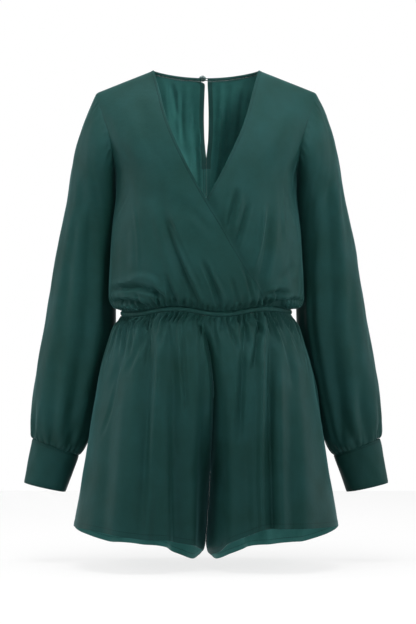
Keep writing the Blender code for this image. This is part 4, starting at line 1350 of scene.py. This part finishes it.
# Seamless background paper: uncoated white cellulose, quite matt. It is so brightly lit that it shows as pure
# white, so most of its light is its own here, and a shadow only greys it.
paper, tree, shader = new_material("white_paper_floor", {
    "Base Color": linear("#7c7c7c"), "Emission Color": linear("#ffffff"), "Emission Strength": 0.77,
    "Roughness": 0.9, "Specular IOR Level": 0.1,
})
place = node(tree, "TexCoord").outputs["Object"]
tooth = node(tree, "TexNoise", {"Scale": 400.0, "Detail": 3.0}, Vector=place)
bump = node(tree, "Bump", {"Strength": 0.05, "Distance": 0.0002}, Height=tooth)
join(tree, bump, shader.inputs["Normal"])
floor.data.materials.append(paper)

world = bpy.data.worlds.new("white_studio")
bpy.context.scene.world = world
world.use_nodes = True
tree = world.node_tree
backdrop = tree.nodes["Background"]
backdrop.inputs["Color"].default_value = (1, 1, 1, 1)
backdrop.inputs["Strength"].default_value = 1.0
ambient = node(tree, "Background", {"Color": (1, 1, 1, 1), "Strength": 0.42})
seen = node(tree, "LightPath").outputs["Is Camera Ray"]
sky = node(tree, "MixShader", _0=seen, _1=ambient, _2=backdrop)
join(tree, sky, tree.nodes["World Output"].inputs["Surface"])

# Softboxes: name, place, aim, size, power in W and spread. A spread under 180 degrees is that of a honeycomb grid.
GARMENT_MIDDLE = (0, 0, -0.37)
NECK = (-0.03, 0.05, -0.05)
LIGHTS = (
    ("overhead_softbox", (-0.2, -0.7, 1.85), (0, 0, -0.15), (1.2, 0.9), 16, 180),
    ("floor_softbox", (0, -0.3, 1.7), (0, 0.2, -0.8), (2.2, 0.8), 20, 180),
    ("neck_softbox", (0.75, -1.6, 0.85), NECK, (0.7, 0.7), 1.2, 24),
    ("front_softbox", (0, -3.3, 0.3), GARMENT_MIDDLE, (1.2, 1.2), 4, 180),
    ("right_front_softbox", (-1.7, -1.5, 0.45), GARMENT_MIDDLE, (0.6, 1.2), 11, 180),
    ("left_front_softbox", (1.9, -1.1, 0.2), GARMENT_MIDDLE, (0.6, 1.4), 6, 180),
    ("right_side_softbox", (-1.9, 0.2, 0.2), GARMENT_MIDDLE, (0.5, 1.4), 11, 180),
    ("left_side_softbox", (1.9, 0.2, 0.2), GARMENT_MIDDLE, (0.5, 1.4), 11, 180),
)
for name, place, aim, size, power, spread in LIGHTS:
    lamp = bpy.data.lights.new(name, "AREA")
    lamp.shape = "RECTANGLE"
    lamp.size, lamp.size_y = size
    lamp.energy = power
    lamp.spread = math.radians(spread)
    light = link(name, lamp)
    light.location = place
    light.rotation_euler = (Vector(aim) - Vector(place)).to_track_quat("-Z", "Y").to_euler()

lens = bpy.data.cameras.new("camera")
lens.lens = 135
lens.sensor_fit = "VERTICAL"
lens.sensor_height = 36
camera = link("camera", lens)
camera.location = (0.0029, -3.79, -0.373)
camera.rotation_euler = (math.pi / 2, 0, 0)
bpy.context.scene.camera = camera
bpy.context.scene.view_settings.view_transform = "Standard"
